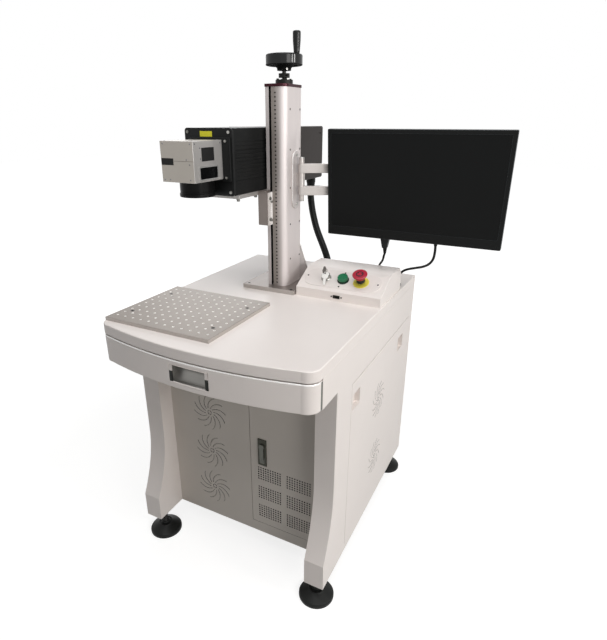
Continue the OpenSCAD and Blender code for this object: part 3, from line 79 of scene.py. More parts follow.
import bmesh
import bpy
import numpy as np
from bpy.props import FloatProperty, FloatVectorProperty, IntProperty, PointerProperty
from bpy.types import Operator, Panel, PropertyGroup
from mathutils import Matrix, Vector

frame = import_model()
mm = 0.001

# ---------------------------------------------------------------- sizes read from the frame

slab_low, slab_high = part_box("table_top")
half_w, table_z, slab_z = slab_high.x, slab_high.z, slab_low.z
panel_y, flange_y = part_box("front_panel")[0].y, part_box("front_flange")[0].y
wheel_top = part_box("handwheel")[1].z
plate_low, plate_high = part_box("work_plate")
column_low, column_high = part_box("column")
galvo_low, galvo_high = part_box("galvo_housing")
laser_low, laser_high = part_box("laser_body")
box_low, box_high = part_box("control_box")
grip_low, grip_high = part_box("wheel_grip")
cover_low, cover_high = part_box("side_cover_right")

CONDUIT_ROUTE = [(-85, 385, 996), (-85, 385, 978), (-84, 383, 960), (-81, 379, 942), (-76, 374, 924),
                 (-70, 368, 907), (-63, 362, 890), (-55, 355, 874), (-46, 347, 858), (-36, 339, 843),
                 (-26, 332, 829), (-16, 325, 816), (-6, 318, 803), (3, 312, 790), (11, 307, 777),
                 (17, 304, 764), (20, 302, 750), (20, 302, 736)]
SIGNAL_ROUTE = [(250, 163, 857.6), (250, 164, 849), (249, 167, 840), (246, 171, 831), (243, 177, 822),
                (239, 184, 814), (234, 192, 807), (229, 201, 801), (224, 210, 795), (220, 219, 788),
                (217, 227, 779), (215, 233, 769), (214, 236, 758), (214, 237, 747), (214, 237, 736)]
POWER_ROUTE = [(388, 155, 899), (388, 156, 888), (388, 157, 877), (388, 159, 866), (387, 162, 855),
               (385, 166, 844), (381, 171, 834), (375, 177, 825), (367, 184, 817), (357, 192, 810),
               (346, 200, 804), (334, 208, 799), (322, 215, 794), (310, 222, 789), (298, 229, 783),
               (288, 235, 776), (280, 240, 767), (275, 244, 757), (273, 246, 747), (273, 246, 736)]
TABLE_GLANDS = [(20, 302, 17), (214, 237, 9), (273, 246, 9)]

# The control box's sloping face rises 42 mm over 83 mm; the switches stand along its middle.
SLOPE = math.atan2(42, 83)
SLOPE_MID = 83 / math.cos(SLOPE) / 2 + 1
SWITCH_X = {"key": 115.7, "start": 166.7, "stop": 218.7}
# The monitor leans back a little; half its width and height, from the middle of its front.
LEAN = math.radians(4.3)
MONITOR_X, MONITOR_Z = 0.2275, 0.1375


def rgb(code):
    """A hex colour as a scene-linear triple."""
    values = [int(code[i:i + 2], 16) / 255 for i in (1, 3, 5)]
    return tuple(c / 12.92 if c <= 0.04045 else ((c + 0.055) / 1.055) ** 2.4 for c in values)


def colour_prop(name, code, text):
    return FloatVectorProperty(name=name, description=text, subtype="COLOR", size=3, min=0, max=1,
                               default=rgb(code))


def length_prop(name, value, text, low=0.0, high=1000.0):
    """A length, given in millimetres."""
    return FloatProperty(name=name, description=text, subtype="DISTANCE", unit="LENGTH", default=value * mm,
                         min=low * mm, max=high * mm, precision=4)


def power_prop(name, value, text):
    return FloatProperty(name=name, description=text, default=value, min=0, max=1000, unit="POWER")


# ---------------------------------------------------------------- settings a user would change

class MarkingCabinet(PropertyGroup):
    paint: colour_prop("Body paint", "#E9E1DC", "Powder coat of the frames, slab, drawer and covers")
    # painted shade: a darker copy of the body paint for the recessed sheets under the slab, standing in for the shade
    # there
    panel: colour_prop("Panel paint", "#C4BDB5", "Powder coat of the recessed front panel and door")
    foot: colour_prop("Foot", "#1A1B1A", "Moulded levelling pads")
    pull: colour_prop("Pull", "#8E8C88", "Metallic scoop of the drawer pull")
    lock: colour_prop("Lock plate", "#45453D", "Die-cast plate of the door lock")
    # painted shade: a dark finish on the walls of holes cut in the sheets, for the shade inside them
    cut: colour_prop("Cut edges", "#33322F", "Shaded edges of the holes cut in the sheets")
    edge: length_prop("Edge", 1.6, "Radius of the folded sheet edges", 0, 2)
    slab_edge: length_prop("Slab edge", 3, "Radius of the slab's top edge", 0, 6)
    dot_pitch: length_prop("Vent dot pitch", 4, "Spacing of the holes along a vent's arms", 2, 9)
    dot_bridge: length_prop("Vent bridge", 0.9, "Metal left between two holes of a vent", 0, 3)


class MarkingPlate(PropertyGroup):
    metal: colour_prop("Work plate", "#8C847D", "Anodised work plate")
    # painted glint: the rims are the holes' countersinks, painted near white to stand in for their glint
    rim: colour_prop("Hole rims", "#F4F1ED", "Bright countersink round each tapped hole")
    base: colour_prop("Base plate", "#847B76", "Base plate, brackets and gussets")
    side: colour_prop("Plate sides", "#B5AEA9", "Milled sides of the work plate")
    pitch: length_prop("Hole pitch", 25, "Pitch of the tapped holes", 10, 50)
    columns: IntProperty(name="Columns", description="Columns of tapped holes", default=12, min=1, max=30)
    rows: IntProperty(name="Rows", description="Rows of tapped holes", default=10, min=1, max=30)
    rim_radius: length_prop("Rim radius", 2.35, "Middle radius of the bright rims", 1, 6)
    rim_thick: length_prop("Rim thickness", 0.9, "Radius of the rims' section", 0.1, 2)


class MarkingColumn(PropertyGroup):
    metal: colour_prop("Column", "#D9D1CF", "Brushed, anodised column")
    # painted shade: the front face is painted darker towards its slotted edge, standing in for the dark reflection
    # there
    shade: colour_prop("Column painted shade", "#8F8781", "Darker tone towards the column's slotted edge")
    cap: colour_prop("Cap", "#3B1A21", "Anodised cap")
    wheel: colour_prop("Handwheel", "#161717", "Gloss moulded handwheel")
    grip: colour_prop("Grip", "#151615", "Moulded turning grip")
    bearing: colour_prop("Bearing", "#242422", "Blackened bearing and collar")
    tick_pitch: length_prop("Tick pitch", 10, "Pitch of the printed height marks", 2, 50)
    tick_long: length_prop("Tick length", 4.8, "Length of a height mark", 1, 10)
    tick_wide: length_prop("Tick width", 3.2, "Width of a height mark", 0.1, 4)


class MarkingHead(PropertyGroup):
    black: colour_prop("Laser body", "#161717", "Black anodised extrusion")
    rear: colour_prop("Rear cover", "#342F2D", "Grey-brown rear cover of the laser")
    silver: colour_prop("Scan head front", "#A8A29A", "Scan head, bead blasted")
    window: colour_prop("Window", "#0C0D0D", "Dark window in the scan head")
    plate: colour_prop("Bare plate", "#1B1B1B", "Bare plates on the scan head")
    tag: colour_prop("Tag", "#D8D22E", "Plain yellow tag")
    lens: colour_prop("Lens barrel", "#101010", "Black anodised lens barrel")


class MarkingControls(PropertyGroup):
    green: colour_prop("Start button", "#037045", "Green button lens")
    red: colour_prop("Emergency stop", "#A81730", "Red mushroom head")
    ring: colour_prop("Stop ring", "#EBDD52", "Yellow backing ring")
    bezel: colour_prop("Button bezel", "#1F3A2C", "Dark bezel of the button")


class MarkingMonitor(PropertyGroup):
    shell: colour_prop("Shell", "#141515", "Textured plastic shell")
    panel: colour_prop("Panel", "#101111", "Anti-glare panel, switched off")
    arm: colour_prop("Arm", "#BFB9B5", "Satin painted arm")
    sheath: colour_prop("Cable sheath", "#101110", "Sheath of conduit and cables")


class MarkingStage(PropertyGroup):
    floor: colour_prop("Floor", "#A3A2A0", "Studio floor, lifted to white for the camera alone")
    lens: FloatProperty(name="Lens", description="Camera lens", default=27.97, min=10, max=200, unit="CAMERA")
    side_lamp: power_prop("Side lamp", 20, "Power of the lamp at the right")
    top_lamp: power_prop("Top lamp", 47, "Power of the lamp overhead")
    front_lamp: power_prop("Front lamp", 2.5, "Power of the lamp in front")
    back_lamp: power_prop("Back lamp", 14, "Power of the lamp behind the left")
    strip_lamp: power_prop("Strip lamps", 13, "Power of each upright strip at the right")
    floor_lift: FloatProperty(name="Floor lift", description="Light the camera sees added on the floor near the "
                              "object", default=0.8, min=0, max=1)
    sky: FloatProperty(name="Room light", description="Level of the even light round the object", default=0.12,
                       min=0, max=2)


# ---------------------------------------------------------------- finishes

finishes = {}


def node(tree, kind, feeds=None, **settings):
    """A new node with its settings; each input is fed by another node's output or holds a plain value."""
    made = tree.nodes.new(kind)
    for name, value in settings.items():
        setattr(made, name, value)
    for into, value in (feeds or {}).items():
        if isinstance(value, bpy.types.NodeSocket):
            tree.links.new(value, made.inputs[into])
        else:
            made.inputs[into].default_value = value
    return made


def maths(tree, operation, a, b):
    return node(tree, "ShaderNodeMath", {0: a, 1: b}, operation=operation).outputs[0]


def noise(tree, scale, stretch, detail, rough):
    """Noise on object coordinates, stretched for grain."""
    place = node(tree, "ShaderNodeTexCoord").outputs["Object"]
    mapping = node(tree, "ShaderNodeMapping", {"Scale": stretch, "Vector": place})
    return node(tree, "ShaderNodeTexNoise", {"Scale": scale, "Detail": detail, "Roughness": rough,
                                             "Vector": mapping.outputs[0]}).outputs["Fac"]


def spread(tree, source, to_low, to_high, low=0.3, high=0.7):
    """A value that goes from one level to another while its source goes from low to high."""
    return node(tree, "ShaderNodeMapRange", {"From Min": low, "From Max": high, "To Min": to_low, "To Max": to_high,
                                             "Value": source}).outputs["Result"]


def tint(colour, share):
    return (*[max(0.0, min(1.0, c * share)) for c in colour], 1)


def two_tone(tree, share, a, b):
    return node(tree, "ShaderNodeMix", {0: share, 6: a, 7: b}, data_type="RGBA").outputs[2]


def finish(name, colour, rough, metal, vary, patch, grain, bump, gloss=0.05, depth=0.2, stretch=(1, 1, 1), coat=0,
           coat_rough=0.1, specular=None, second=None):
    """A procedural finish: patchy tone, uneven gloss and a fine relief, its depth in millimetres."""
    colour = rgb(colour) if isinstance(colour, str) else tuple(colour)
    mat = bpy.data.materials.new(name)
    mat.use_nodes = True
    tree = mat.node_tree
    tone = spread(tree, noise(tree, patch, stretch, 4, 0.55), 0, 1)
    base = two_tone(tree, tone, tint(colour, 1 - vary), tint(colour, 1 + vary))
    if second:
        share, other = second(tree)
        base = two_tone(tree, share, base, other)
    fine = noise(tree, grain, stretch, 2, 0.6)
    relief = node(tree, "ShaderNodeBump", {"Strength": bump, "Distance": depth * mm, "Height": fine})
    if specular is None:  # dark finishes reflect less
        specular = 0.5 if max(colour) > 0.09 else 0.16
    shader = next(n for n in tree.nodes if n.type == "BSDF_PRINCIPLED")
    tree.links.new(base, shader.inputs["Base Color"])
    tree.links.new(spread(tree, fine, max(0.02, rough - gloss), min(1, rough + gloss)), shader.inputs["Roughness"])
    tree.links.new(relief.outputs["Normal"], shader.inputs["Normal"])
    for into, value in (("Metallic", metal), ("Specular IOR Level", specular), ("Coat Weight", coat),
                        ("Coat Roughness", coat_rough)):
        shader.inputs[into].default_value = value
    mat.diffuse_color = (*colour, 1)
    finishes[name] = mat


def beyond(colour, *steps):
    """A second colour past places along the axes: each step an axis, a place and the width of the change."""
    def make(tree):
        place = node(tree, "ShaderNodeTexCoord").outputs["Object"]
        parts = node(tree, "ShaderNodeSeparateXYZ", {"Vector": place}).outputs
        total = 1.0
        for axis, at, width in steps:
            total = maths(tree, "MULTIPLY", total, spread(tree, parts["XYZ".index(axis)], 0, 1, at, at + width))
        return total, (*colour, 1)
    return make


def make_finishes():
    """Every finish of the machine, once: name, colour, roughness, metal, variation, patches, grain and relief."""
    if finishes:
        return
    w = bpy.context.scene
    cab, plate, col = w.marking_cabinet, w.marking_plate, w.marking_column
    head, ctl, mon = w.marking_head, w.marking_controls, w.marking_monitor
    for name, colour, *values, more in (
            ("body_powder_coat", cab.paint, 0.42, 0, 0.018, 5, 1100, 0.1, {"depth": 0.3}),
            ("panel_powder_coat", cab.panel, 0.5, 0, 0.03, 4, 1300, 0.1, {"depth": 0.3}),
            ("cut_edge", cab.cut, 0.75, 0, 0.1, 60, 900, 0.02, {}),
            ("foot_moulding", cab.foot, 0.42, 0, 0.15, 40, 700, 0.15, {"depth": 0.4}),
            ("pull_metallic", cab.pull, 0.38, 0.7, 0.05, 30, 1600, 0.08, {}),
            ("pull_end_black", "#20221F", 0.45, 0, 0.1, 60, 900, 0.1, {}),
            ("lock_casting", cab.lock, 0.5, 0.3, 0.06, 60, 1800, 0.12, {}),
            ("lever_zinc", "#B9B7B2", 0.32, 0.9, 0.06, 60, 1200, 0.06, {}),
            ("lever_dark", "#5C5D56", 0.45, 0.4, 0.06, 60, 1200, 0.06, {}),
            ("runner_zinc", "#B4B3AF", 0.34, 0.9, 0.08, 50, 900, 0.08, {}),
            ("plate_anodised", plate.metal, 0.42, 0.55, 0.035, 14, 1500, 0.12, {"stretch": (1, 0.08, 1)}),
            ("plate_side", plate.side, 0.35, 0.4, 0.03, 40, 1400, 0.06, {"stretch": (0.1, 0.1, 1)}),
            ("hole_rim_bright", plate.rim, 0.4, 0.3, 0.03, 200, 2000, 0.02, {}),
            ("base_anodised", plate.base, 0.4, 0.6, 0.05, 20, 1400, 0.1, {"stretch": (1, 0.1, 1)}),
            # the second tone darkens the front face towards its slotted edge: painted shade
            ("column_brushed", col.metal, 0.5, 0.35, 0.02, 40, 900, 0.05, {"stretch": (1, 1, 0.02), "second": beyond(
                col.shade, ("X", -0.008, -0.024), ("Y", 0.047, -0.001))}),
            # a darker copy of the column metal: painted shade on the gusset, the wall plate's face and the column's
            # front strip
            ("gusset_sheet", tint(col.metal, 0.84)[:3], 0.42, 0.3, 0.03, 30, 900, 0.05, {}),
            ("cap_maroon", col.cap, 0.26, 0.4, 0.08, 60, 1500, 0.05, {}),
            ("web_polished", "#E9E4E0", 0.3, 0.5, 0.02, 60, 900, 0.02, {}),
            # blackened bearing and collar; also painted shade inside the hollow column
            ("bearing_blackened", col.bearing, 0.42, 0.6, 0.12, 60, 1200, 0.08, {}),
            ("screw_ground", "#B9B8B5", 0.22, 1, 0.05, 80, 700, 0.05, {"stretch": (1, 1, 0.1)}),
            ("screw_grey", "#75746F", 0.42, 0.6, 0.08, 90, 1500, 0.05, {}),
            ("screw_black", "#2C2B2A", 0.38, 0.8, 0.1, 90, 1500, 0.06, {}),
            ("screw_nickel", "#AFAEAA", 0.3, 1, 0.05, 120, 1500, 0.04, {}),
            ("tick_print", "#3A3632", 0.6, 0, 0.15, 300, 900, 0.02, {}),
            ("wheel_gloss", col.wheel, 0.15, 0, 0.06, 40, 900, 0.03, {"gloss": 0.03, "coat": 0.25,
                                                                     "coat_rough": 0.06}),
            ("wheel_under", col.wheel, 0.7, 0, 0.1, 60, 900, 0.1, {"specular": 0.05}),
            ("grip_moulding", col.grip, 0.22, 0, 0.08, 60, 900, 0.05, {"gloss": 0.04, "coat": 0.15}),
            ("laser_anodised", head.black, 0.42, 0.2, 0.07, 25, 1500, 0.1, {
                "specular": 0.09, "second": beyond(head.rear, ("Y", 0.0905, 0.0006))}),
            ("flange_black", "#1F2020", 0.4, 0.3, 0.08, 30, 1500, 0.08, {}),
            ("scan_head_blasted", head.silver, 0.4, 0.65, 0.025, 25, 1900, 0.12, {}),
            ("scan_head_milled", "#B3B0AD", 0.36, 0.45, 0.03, 30, 900, 0.06, {"stretch": (1, 0.05, 1)}),
            # painted highlight: a near-white finish for eased edges and strips, standing in for the light they catch
            ("edge_bright", "#F1EFEC", 0.25, 0.3, 0.02, 60, 900, 0.02, {}),
            ("window_dark", head.window, 0.12, 0, 0.1, 40, 900, 0.01, {"gloss": 0.02, "coat": 0.3}),
            ("plate_black", head.plate, 0.45, 0, 0.1, 80, 1500, 0.04, {}),
            ("frame_polished", "#C6C5C2", 0.2, 0.55, 0.03, 60, 900, 0.02, {"gloss": 0.03}),
            ("tag_yellow", head.tag, 0.5, 0, 0.05, 120, 900, 0.03, {}),
            ("lens_barrel", head.lens, 0.32, 0.1, 0.08, 50, 1200, 0.06, {"stretch": (1, 1, 0.1), "specular": 0.09}),
            ("lens_glass", "#101A1C", 0.05, 0, 0.05, 50, 900, 0, {"gloss": 0.01, "coat": 0.6}),
            ("mirror_coated", "#DDE6EA", 0.05, 1, 0.02, 90, 900, 0, {"gloss": 0.01}),
            ("motor_turned", "#77777A", 0.35, 0.9, 0.05, 50, 900, 0.05, {}),
            ("panel_engraved", "#E4DCD7", 0.42, 0, 0.02, 20, 1100, 0.08, {"depth": 0.3}),
            ("button_green", ctl.green, 0.3, 0, 0.06, 150, 700, 0.04, {"gloss": 0.04, "coat": 0.1}),
            ("stop_red", ctl.red, 0.34, 0, 0.05, 90, 900, 0.04, {}),
            ("key_bright", "#EFEDE9", 0.3, 0.25, 0.03, 120, 1200, 0.03, {}),
            ("key_steel", "#6C6A66", 0.3, 0.9, 0.05, 120, 1200, 0.03, {}),
            ("stop_mark", "#3A3038", 0.4, 0, 0.1, 200, 900, 0.02, {}),
            ("ring_yellow", ctl.ring, 0.45, 0, 0.05, 80, 900, 0.04, {}),
            ("bezel_black", "#2B2B29", 0.35, 0, 0.1, 120, 900, 0.05, {}),
            ("bezel_dark", ctl.bezel, 0.35, 0, 0.1, 120, 900, 0.05, {}),
            ("shell_textured", mon.shell, 0.48, 0, 0.06, 12, 1600, 0.25, {"depth": 0.3, "specular": 0.12}),
            ("bezel_edge", "#2C2F31", 0.4, 0, 0.06, 30, 1600, 0.15, {}),
            ("panel_off", mon.panel, 0.34, 0, 0.1, 3, 2600, 0.06, {"gloss": 0.03, "depth": 0.1, "specular": 0.1}),
            ("arm_satin", mon.arm, 0.32, 0.55, 0.03, 20, 1500, 0.05, {}),
            ("bracket_black", "#2A2A2A", 0.45, 0.2, 0.08, 40, 1500, 0.1, {}),
            ("sheath_black", mon.sheath, 0.38, 0, 0.12, 60, 800, 0.12, {}),
            ("unit_case", "#5E6165", 0.5, 0.2, 0.05, 12, 1300, 0.1, {}),
            ("fan_moulding", "#26282A", 0.5, 0, 0.08, 30, 900, 0.1, {})):
        finish(name, colour, *values, **more)


# ---------------------------------------------------------------- mesh helpers
# Shapes are given in millimetres; points, boxes and placing matrices are in metres.

def near(a, b, slack=0.4):
    """Whether two lengths in metres are the same within a slack in millimetres."""
    return abs(a - b) < slack * mm


def everywhere(point):
    return True


def rims(low, high, axes="xy"):
    """A test for points that lie on the sides of a box."""
    return lambda p: any(near(getattr(p, a), getattr(q, a)) for a in axes for q in (low, high))


def keep(obj, body, replaces=()):
    """Puts a finished object on its body."""
    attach(obj, body)
    if replaces:
        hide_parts(*replaces)
    return obj


def object_of(name, mesh):
    obj = bpy.data.objects.new(name, mesh)
    bpy.context.scene.collection.objects.link(obj)
    return obj


def object_from(name, bm):
    """A new object from a mesh under construction."""
    mesh = bpy.data.meshes.new(name)
    bm.to_mesh(mesh)
    bm.free()
    return object_of(name, mesh)


def formed(name, steps, merge=False):
    """A new object from helpers run in turn: each a function and what it takes after the mesh."""
    bm = bmesh.new()
    for run, *rest in steps:
        run(bm, *rest)
    if merge:
        bmesh.ops.remove_doubles(bm, verts=bm.verts, dist=1e-7)
    bmesh.ops.recalc_face_normals(bm, faces=bm.faces)
    return object_from(name, bm)


def settle(obj):
    """Applies the modifiers and leaves a plain mesh."""
    graph = bpy.context.evaluated_depsgraph_get()
    graph.update()
    mesh = bpy.data.meshes.new_from_object(obj.evaluated_get(graph), preserve_all_data_layers=True, depsgraph=graph)
    obj.modifiers.clear()
    old, obj.data = obj.data, mesh
    mesh.name = obj.name
    if old.users == 0:
        bpy.data.meshes.remove(old)


def shade(obj, angle):
    """Smooth shading that keeps corners crisp and big faces flat."""
    mesh = obj.data
    mesh.polygons.foreach_set("use_smooth", [True] * len(mesh.polygons))
    mesh.set_sharp_from_angle(angle=math.radians(angle))
    weigh = obj.modifiers.new("Even shading", "WEIGHTED_NORMAL")
    weigh.keep_sharp = True
    weigh.mode = "FACE_AREA_WITH_ANGLE"
    settle(obj)


def dress(obj, material, paint, angle):
    """Gives an object its finish, and other finishes to some faces: pairs of a finish and a test."""
    mesh = obj.data
    mesh.materials.append(finishes[material])
    for index, (other, test) in enumerate(paint, 1):
        mesh.materials.append(finishes[other])
        for face in mesh.polygons:
            if test(face.center, face.normal):
                face.material_index = index
    shade(obj, angle)
    return obj


def piece(name, steps, material, body, replaces=(), angle=30, paint=(), merge=False):
    """A new object in its finish on its body."""
    return keep(dress(formed(name, steps, merge), material, paint, angle), body, replaces)


def soften(name, material, soft=(), angle=30, paint=(), change=None):
    """A copy of a CAD node with joined faces, eased edges and smooth shading, which stands for it.

    Each edge to ease is a radius and a test on its middle.
    """
    source = frame["nodes"][name]
    bm = bmesh.new()
    bm.from_mesh(source.data)
    bmesh.ops.remove_doubles(bm, verts=bm.verts, dist=3e-6)
    bmesh.ops.dissolve_limit(bm, angle_limit=math.radians(0.25), verts=bm.verts, edges=bm.edges)
    if change:
        change(bm)
    for width, test in soft:
        bm.normal_update()
        edges = [e for e in bm.edges if len(e.link_faces) == 2 and e.is_convex
                 and e.calc_face_angle(0) > math.radians(35) and test((e.verts[0].co + e.verts[1].co) / 2)]
        bmesh.ops.bevel(bm, geom=edges, offset=width * mm, offset_type="OFFSET", segments=3, profile=0.6,
                        affect="EDGES", clamp_overlap=False)
    keep(dress(object_from(name + "_skin", bm), material, paint, angle), source["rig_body"], (name,))


def lathe(bm, profile, place=Matrix.Identity(4), sides=48, closed=False):
    """Turns a profile of radius and height about Z, then puts it in its place."""
    rings = []
    for r, z in profile:
        turns = [0.0] if r < 1e-3 else [2 * math.pi * k / sides for k in range(sides)]
        rings.append([bm.verts.new(place @ (Vector((r * math.cos(t), r * math.sin(t), z)) * mm)) for t in turns])
    for a, b in zip(rings, rings[1:] + rings[:1] * closed):
        for k in range(sides if len(a) + len(b) > 2 else 0):
            m = (k + 1) % sides
            if len(a) == 1:
                bm.faces.new((a[0], b[k], b[m]))
            elif len(b) == 1:
                bm.faces.new((a[k], b[0], a[m]))
            else:
                bm.faces.new((a[k], b[k], b[m], a[m]))


def block(bm, low, high, ease=0.0, place=Matrix.Identity(4)):
    """A box with eased edges."""
    made = bmesh.ops.create_cube(bm, size=1.0)["verts"]
    low, high = Vector(low) * mm, Vector(high) * mm
    for v in made:
        v.co = v.co * (high - low) + (low + high) / 2
    if ease > 0:
        edges = list({e for v in made for e in v.link_edges})
        eased = bmesh.ops.bevel(bm, geom=edges, offset=ease * mm, offset_type="OFFSET", segments=2, profile=0.6,
                                affect="EDGES", clamp_overlap=True)["verts"]
        made = {*eased, *(v for v in made if v.is_valid)}
    for v in made:
        v.co = place @ v.co


def join_rings(bm, rings, closed=False, caps=False):
    """Faces between rings of as many points."""
    for a, b in zip(rings, rings[1:] + rings[:1] * closed):
        for k in range(len(a)):
            m = (k + 1) % len(a)
            bm.faces.new((a[k], a[m], b[m], b[k]))
    if caps:
        bm.faces.new(rings[0][::-1])
        bm.faces.new(rings[-1])


def ring_at(bm, outline, z, place):
    return [bm.verts.new(place @ (Vector((x, y, z)) * mm)) for x, y in outline]


def sheet_ring(bm, outer, inner, low, high, place):
    """A flat frame between two outlines of as many points."""
    join_rings(bm, [ring_at(bm, ring, z, place) for ring, z in
                    ((outer, low), (outer, high), (inner, high), (inner, low))], closed=True)


def circle(r, count=36, x=0.0, y=0.0, ry=None):
    turns = np.linspace(0, 2 * math.pi, count, False)
    return [(x + r * math.cos(t), y + (r if ry is None else ry) * math.sin(t)) for t in turns]


def rounded_outline(w, h, r, steps=5):
    points = []
    for x, y, start in ((1, 1, 0), (-1, 1, 90), (-1, -1, 180), (1, -1, 270)):
        for k in range(steps + 1):
            t = math.radians(start + 90 * k / steps)
            points.append((x * (w / 2 - r) + r * math.cos(t), y * (h / 2 - r) + r * math.sin(t)))
    return points


def slab_of(bm, w, h, r, thick, place, ease=0.0):
    """A plate with round corners and an eased upper edge."""
    outline = rounded_outline(w, h, r)
    rings = [ring_at(bm, outline, z, place) for z in (0, thick - ease)]
    for inset, below in ((0.3, 0.3), (1.0, 0.0)) if ease else ():
        inner = [Vector(p) - Vector(p).normalized() * ease * inset for p in outline]
        rings.append(ring_at(bm, inner, thick - ease * below, place))
    join_rings(bm, rings, caps=True)


def turned(normal):
    """Rotation that points Z along a direction."""
    return Vector(normal).to_track_quat("Z", "Y").to_matrix().to_4x4()


def moved(x, y, z):
    return Matrix.Translation(Vector((x, y, z)) * mm)


def spun(angle, axis):
    return Matrix.Rotation(angle, 4, axis)


def at(x, y, z, normal=(0, 0, 1)):
    """Placing matrix from millimetres and a direction."""
    return moved(x, y, z) @ turned(normal)


def on_slope(x, s=SLOPE_MID, z=0.0):
    """Placing matrix on the control box's sloping face, Z out of it."""
    return moved(x, 27, 754) @ spun(SLOPE, "X") @ moved(0, s, z)


def at_screen(x=0.0, y=0.0, z=0.0):
    """Placing matrix in the monitor's own frame: middle of the front face, Y backwards."""
    return moved(323.065, 109, 1027.4) @ spun(LEAN, "X") @ moved(x, y, z)


# ---------------------------------------------------------------- geometry node trees

def tree_of(name, inputs, fill):
    """A tree with named inputs that ends in Realize Instances and Set Material, made once."""
    tree = bpy.data.node_groups.get(name)
    if tree is None:
        tree = bpy.data.node_groups.new(name, "GeometryNodeTree")
        for label, kind in (("Geometry", "Geometry"), *inputs, ("Finish", "Material")):
            tree.interface.new_socket(label, in_out="INPUT", socket_type="NodeSocket" + kind)
        tree.interface.new_socket("Geometry", in_out="OUTPUT", socket_type="NodeSocketGeometry")
        given = node(tree, "NodeGroupInput").outputs
        real = node(tree, "GeometryNodeRealizeInstances", {0: fill(tree, given)})
        last = node(tree, "GeometryNodeSetMaterial", {"Geometry": real.outputs[0], "Material": given["Finish"]})
        node(tree, "NodeGroupOutput", {0: last.outputs["Geometry"]})
    return tree


def run_tree(name, host, tree, values, material, angle=35):
    """Runs a tree on a host mesh and leaves a plain mesh in its finish."""
    obj = object_of(name, host)
    mod = obj.modifiers.new("Pattern", "NODES")
    mod.node_group = tree
    ids = {i.name: i.identifier for i in tree.interface.items_tree if i.in_out == "INPUT"}
    for label, value in {**values, "Finish": finishes[material]}.items():
        mod[ids[label]] = value
    settle(obj)
    if len(obj.data.polygons) == 0:
        raise RuntimeError(f"{name} came out empty")
    shade(obj, angle)
    return obj


def instances(tree, points, shape, **more):
    return node(tree, "GeometryNodeInstanceOnPoints", {"Points": points, "Instance": shape, **more}).outputs[0]


def stamps(tree, given):
    """Sets a shape on every point of the host, turned and stretched by the host's own attributes."""
    own = [node(tree, "GeometryNodeInputNamedAttribute", {"Name": name}, data_type="FLOAT_VECTOR").outputs["Attribute"]
           for name in ("turn", "stretch")]
    shape = node(tree, "GeometryNodeObjectInfo", {"Object": given["Shape"]}).outputs["Geometry"]
    euler = node(tree, "FunctionNodeEulerToRotation", {0: own[0]}).outputs[0]
    return instances(tree, given["Geometry"], shape, Rotation=euler, Scale=own[1])


def stamp(name, shape, places, material, body, slot):
    """One shape at many places: each a matrix, or a matrix and a stretch along X, Y and Z."""
    host = bpy.data.meshes.new(name)
    pairs = [p if isinstance(p, tuple) else (p, (1, 1, 1)) for p in places]
    host.from_pydata([tuple(m.translation) for m, s in pairs], [], [])
    for label, rows in (("turn", [tuple(m.to_euler()) for m, s in pairs]), ("stretch", [s for m, s in pairs])):
        layer = host.attributes.new(label, "FLOAT_VECTOR", "POINT")
        layer.data.foreach_set("vector", np.array(rows, np.float32).ravel())
    tree = tree_of("Stamped shapes", [("Shape", "Object")], stamps)
    keep(run_tree(name, host, tree, {"Shape": shape}, material), body)


def drop(*objs):
    for obj in objs:
        mesh = obj.data
        bpy.data.objects.remove(obj)
        bpy.data.meshes.remove(mesh)


# A cube of one metre, which its places stretch to size.
UNIT_CUBE = (block, (-500, -500, -500), (500, 500, 500))


def socket_head(bm, r, h, hex_r, sides=24):
    """A socket-head screw, its head's underside at Z 0."""
    hexa = []
    for k in range(sides):
        t = 2 * math.pi * k / sides
        sector = (t + math.pi / 6) % (math.pi / 3) - math.pi / 6
        q = hex_r * math.cos(math.pi / 6) / math.cos(sector)
        hexa.append((q * math.cos(t), q * math.sin(t)))
    rim = circle(r, sides)
    join_rings(bm, [ring_at(bm, [(x * scale, y * scale) for x, y in ring], z * h, Matrix.Identity(4))
                    for ring, scale, z in ((rim, 1, 0), (rim, 1, 0.85), (rim, 0.9, 1), (hexa, 1.08, 1),
                                           (hexa, 1, 0.93), (hexa, 1, 0.35))], caps=True)


def pan_head(bm, r, h):
    """A low domed screw with a crossed recess read as a dimple."""
    lathe(bm, [(0, 0), (r, 0), (r, h * 0.35), (r * 0.82, h * 0.8), (r * 0.45, h), (r * 0.3, h * 0.96),
               (r * 0.24, h * 0.45), (0, h * 0.3)], sides=20)


def sheath(tree, given):
    """Sweeps a round section along the host's line."""
    line = node(tree, "GeometryNodeMeshToCurve", {0: given["Geometry"]})
    ring = node(tree, "GeometryNodeCurvePrimitiveCircle", {"Radius": given["Radius"], "Resolution": given["Sides"]})
    return node(tree, "GeometryNodeCurveToMesh", {"Curve": line.outputs[0], "Profile Curve": ring.outputs["Curve"],
                                                  "Fill Caps": True}).outputs["Mesh"]


def smooth_line(points, per=4):
    """A Catmull-Rom line through points given in millimetres, in metres."""
    p = [Vector(q) for q in points]
    p = [p[0] * 2 - p[1]] + p + [p[-1] * 2 - p[-2]]
    line = []
    for a, b, c, d in zip(p, p[1:], p[2:], p[3:]):
        for t in (k / per for k in range(per)):
            line.append(0.5 * (2 * b + (c - a) * t + (2 * a - 5 * b + 4 * c - d) * t * t
                               + (3 * b - a - 3 * c + d) * t ** 3) * mm)
    return line + [p[-2] * mm]


# ---------------------------------------------------------------- operators

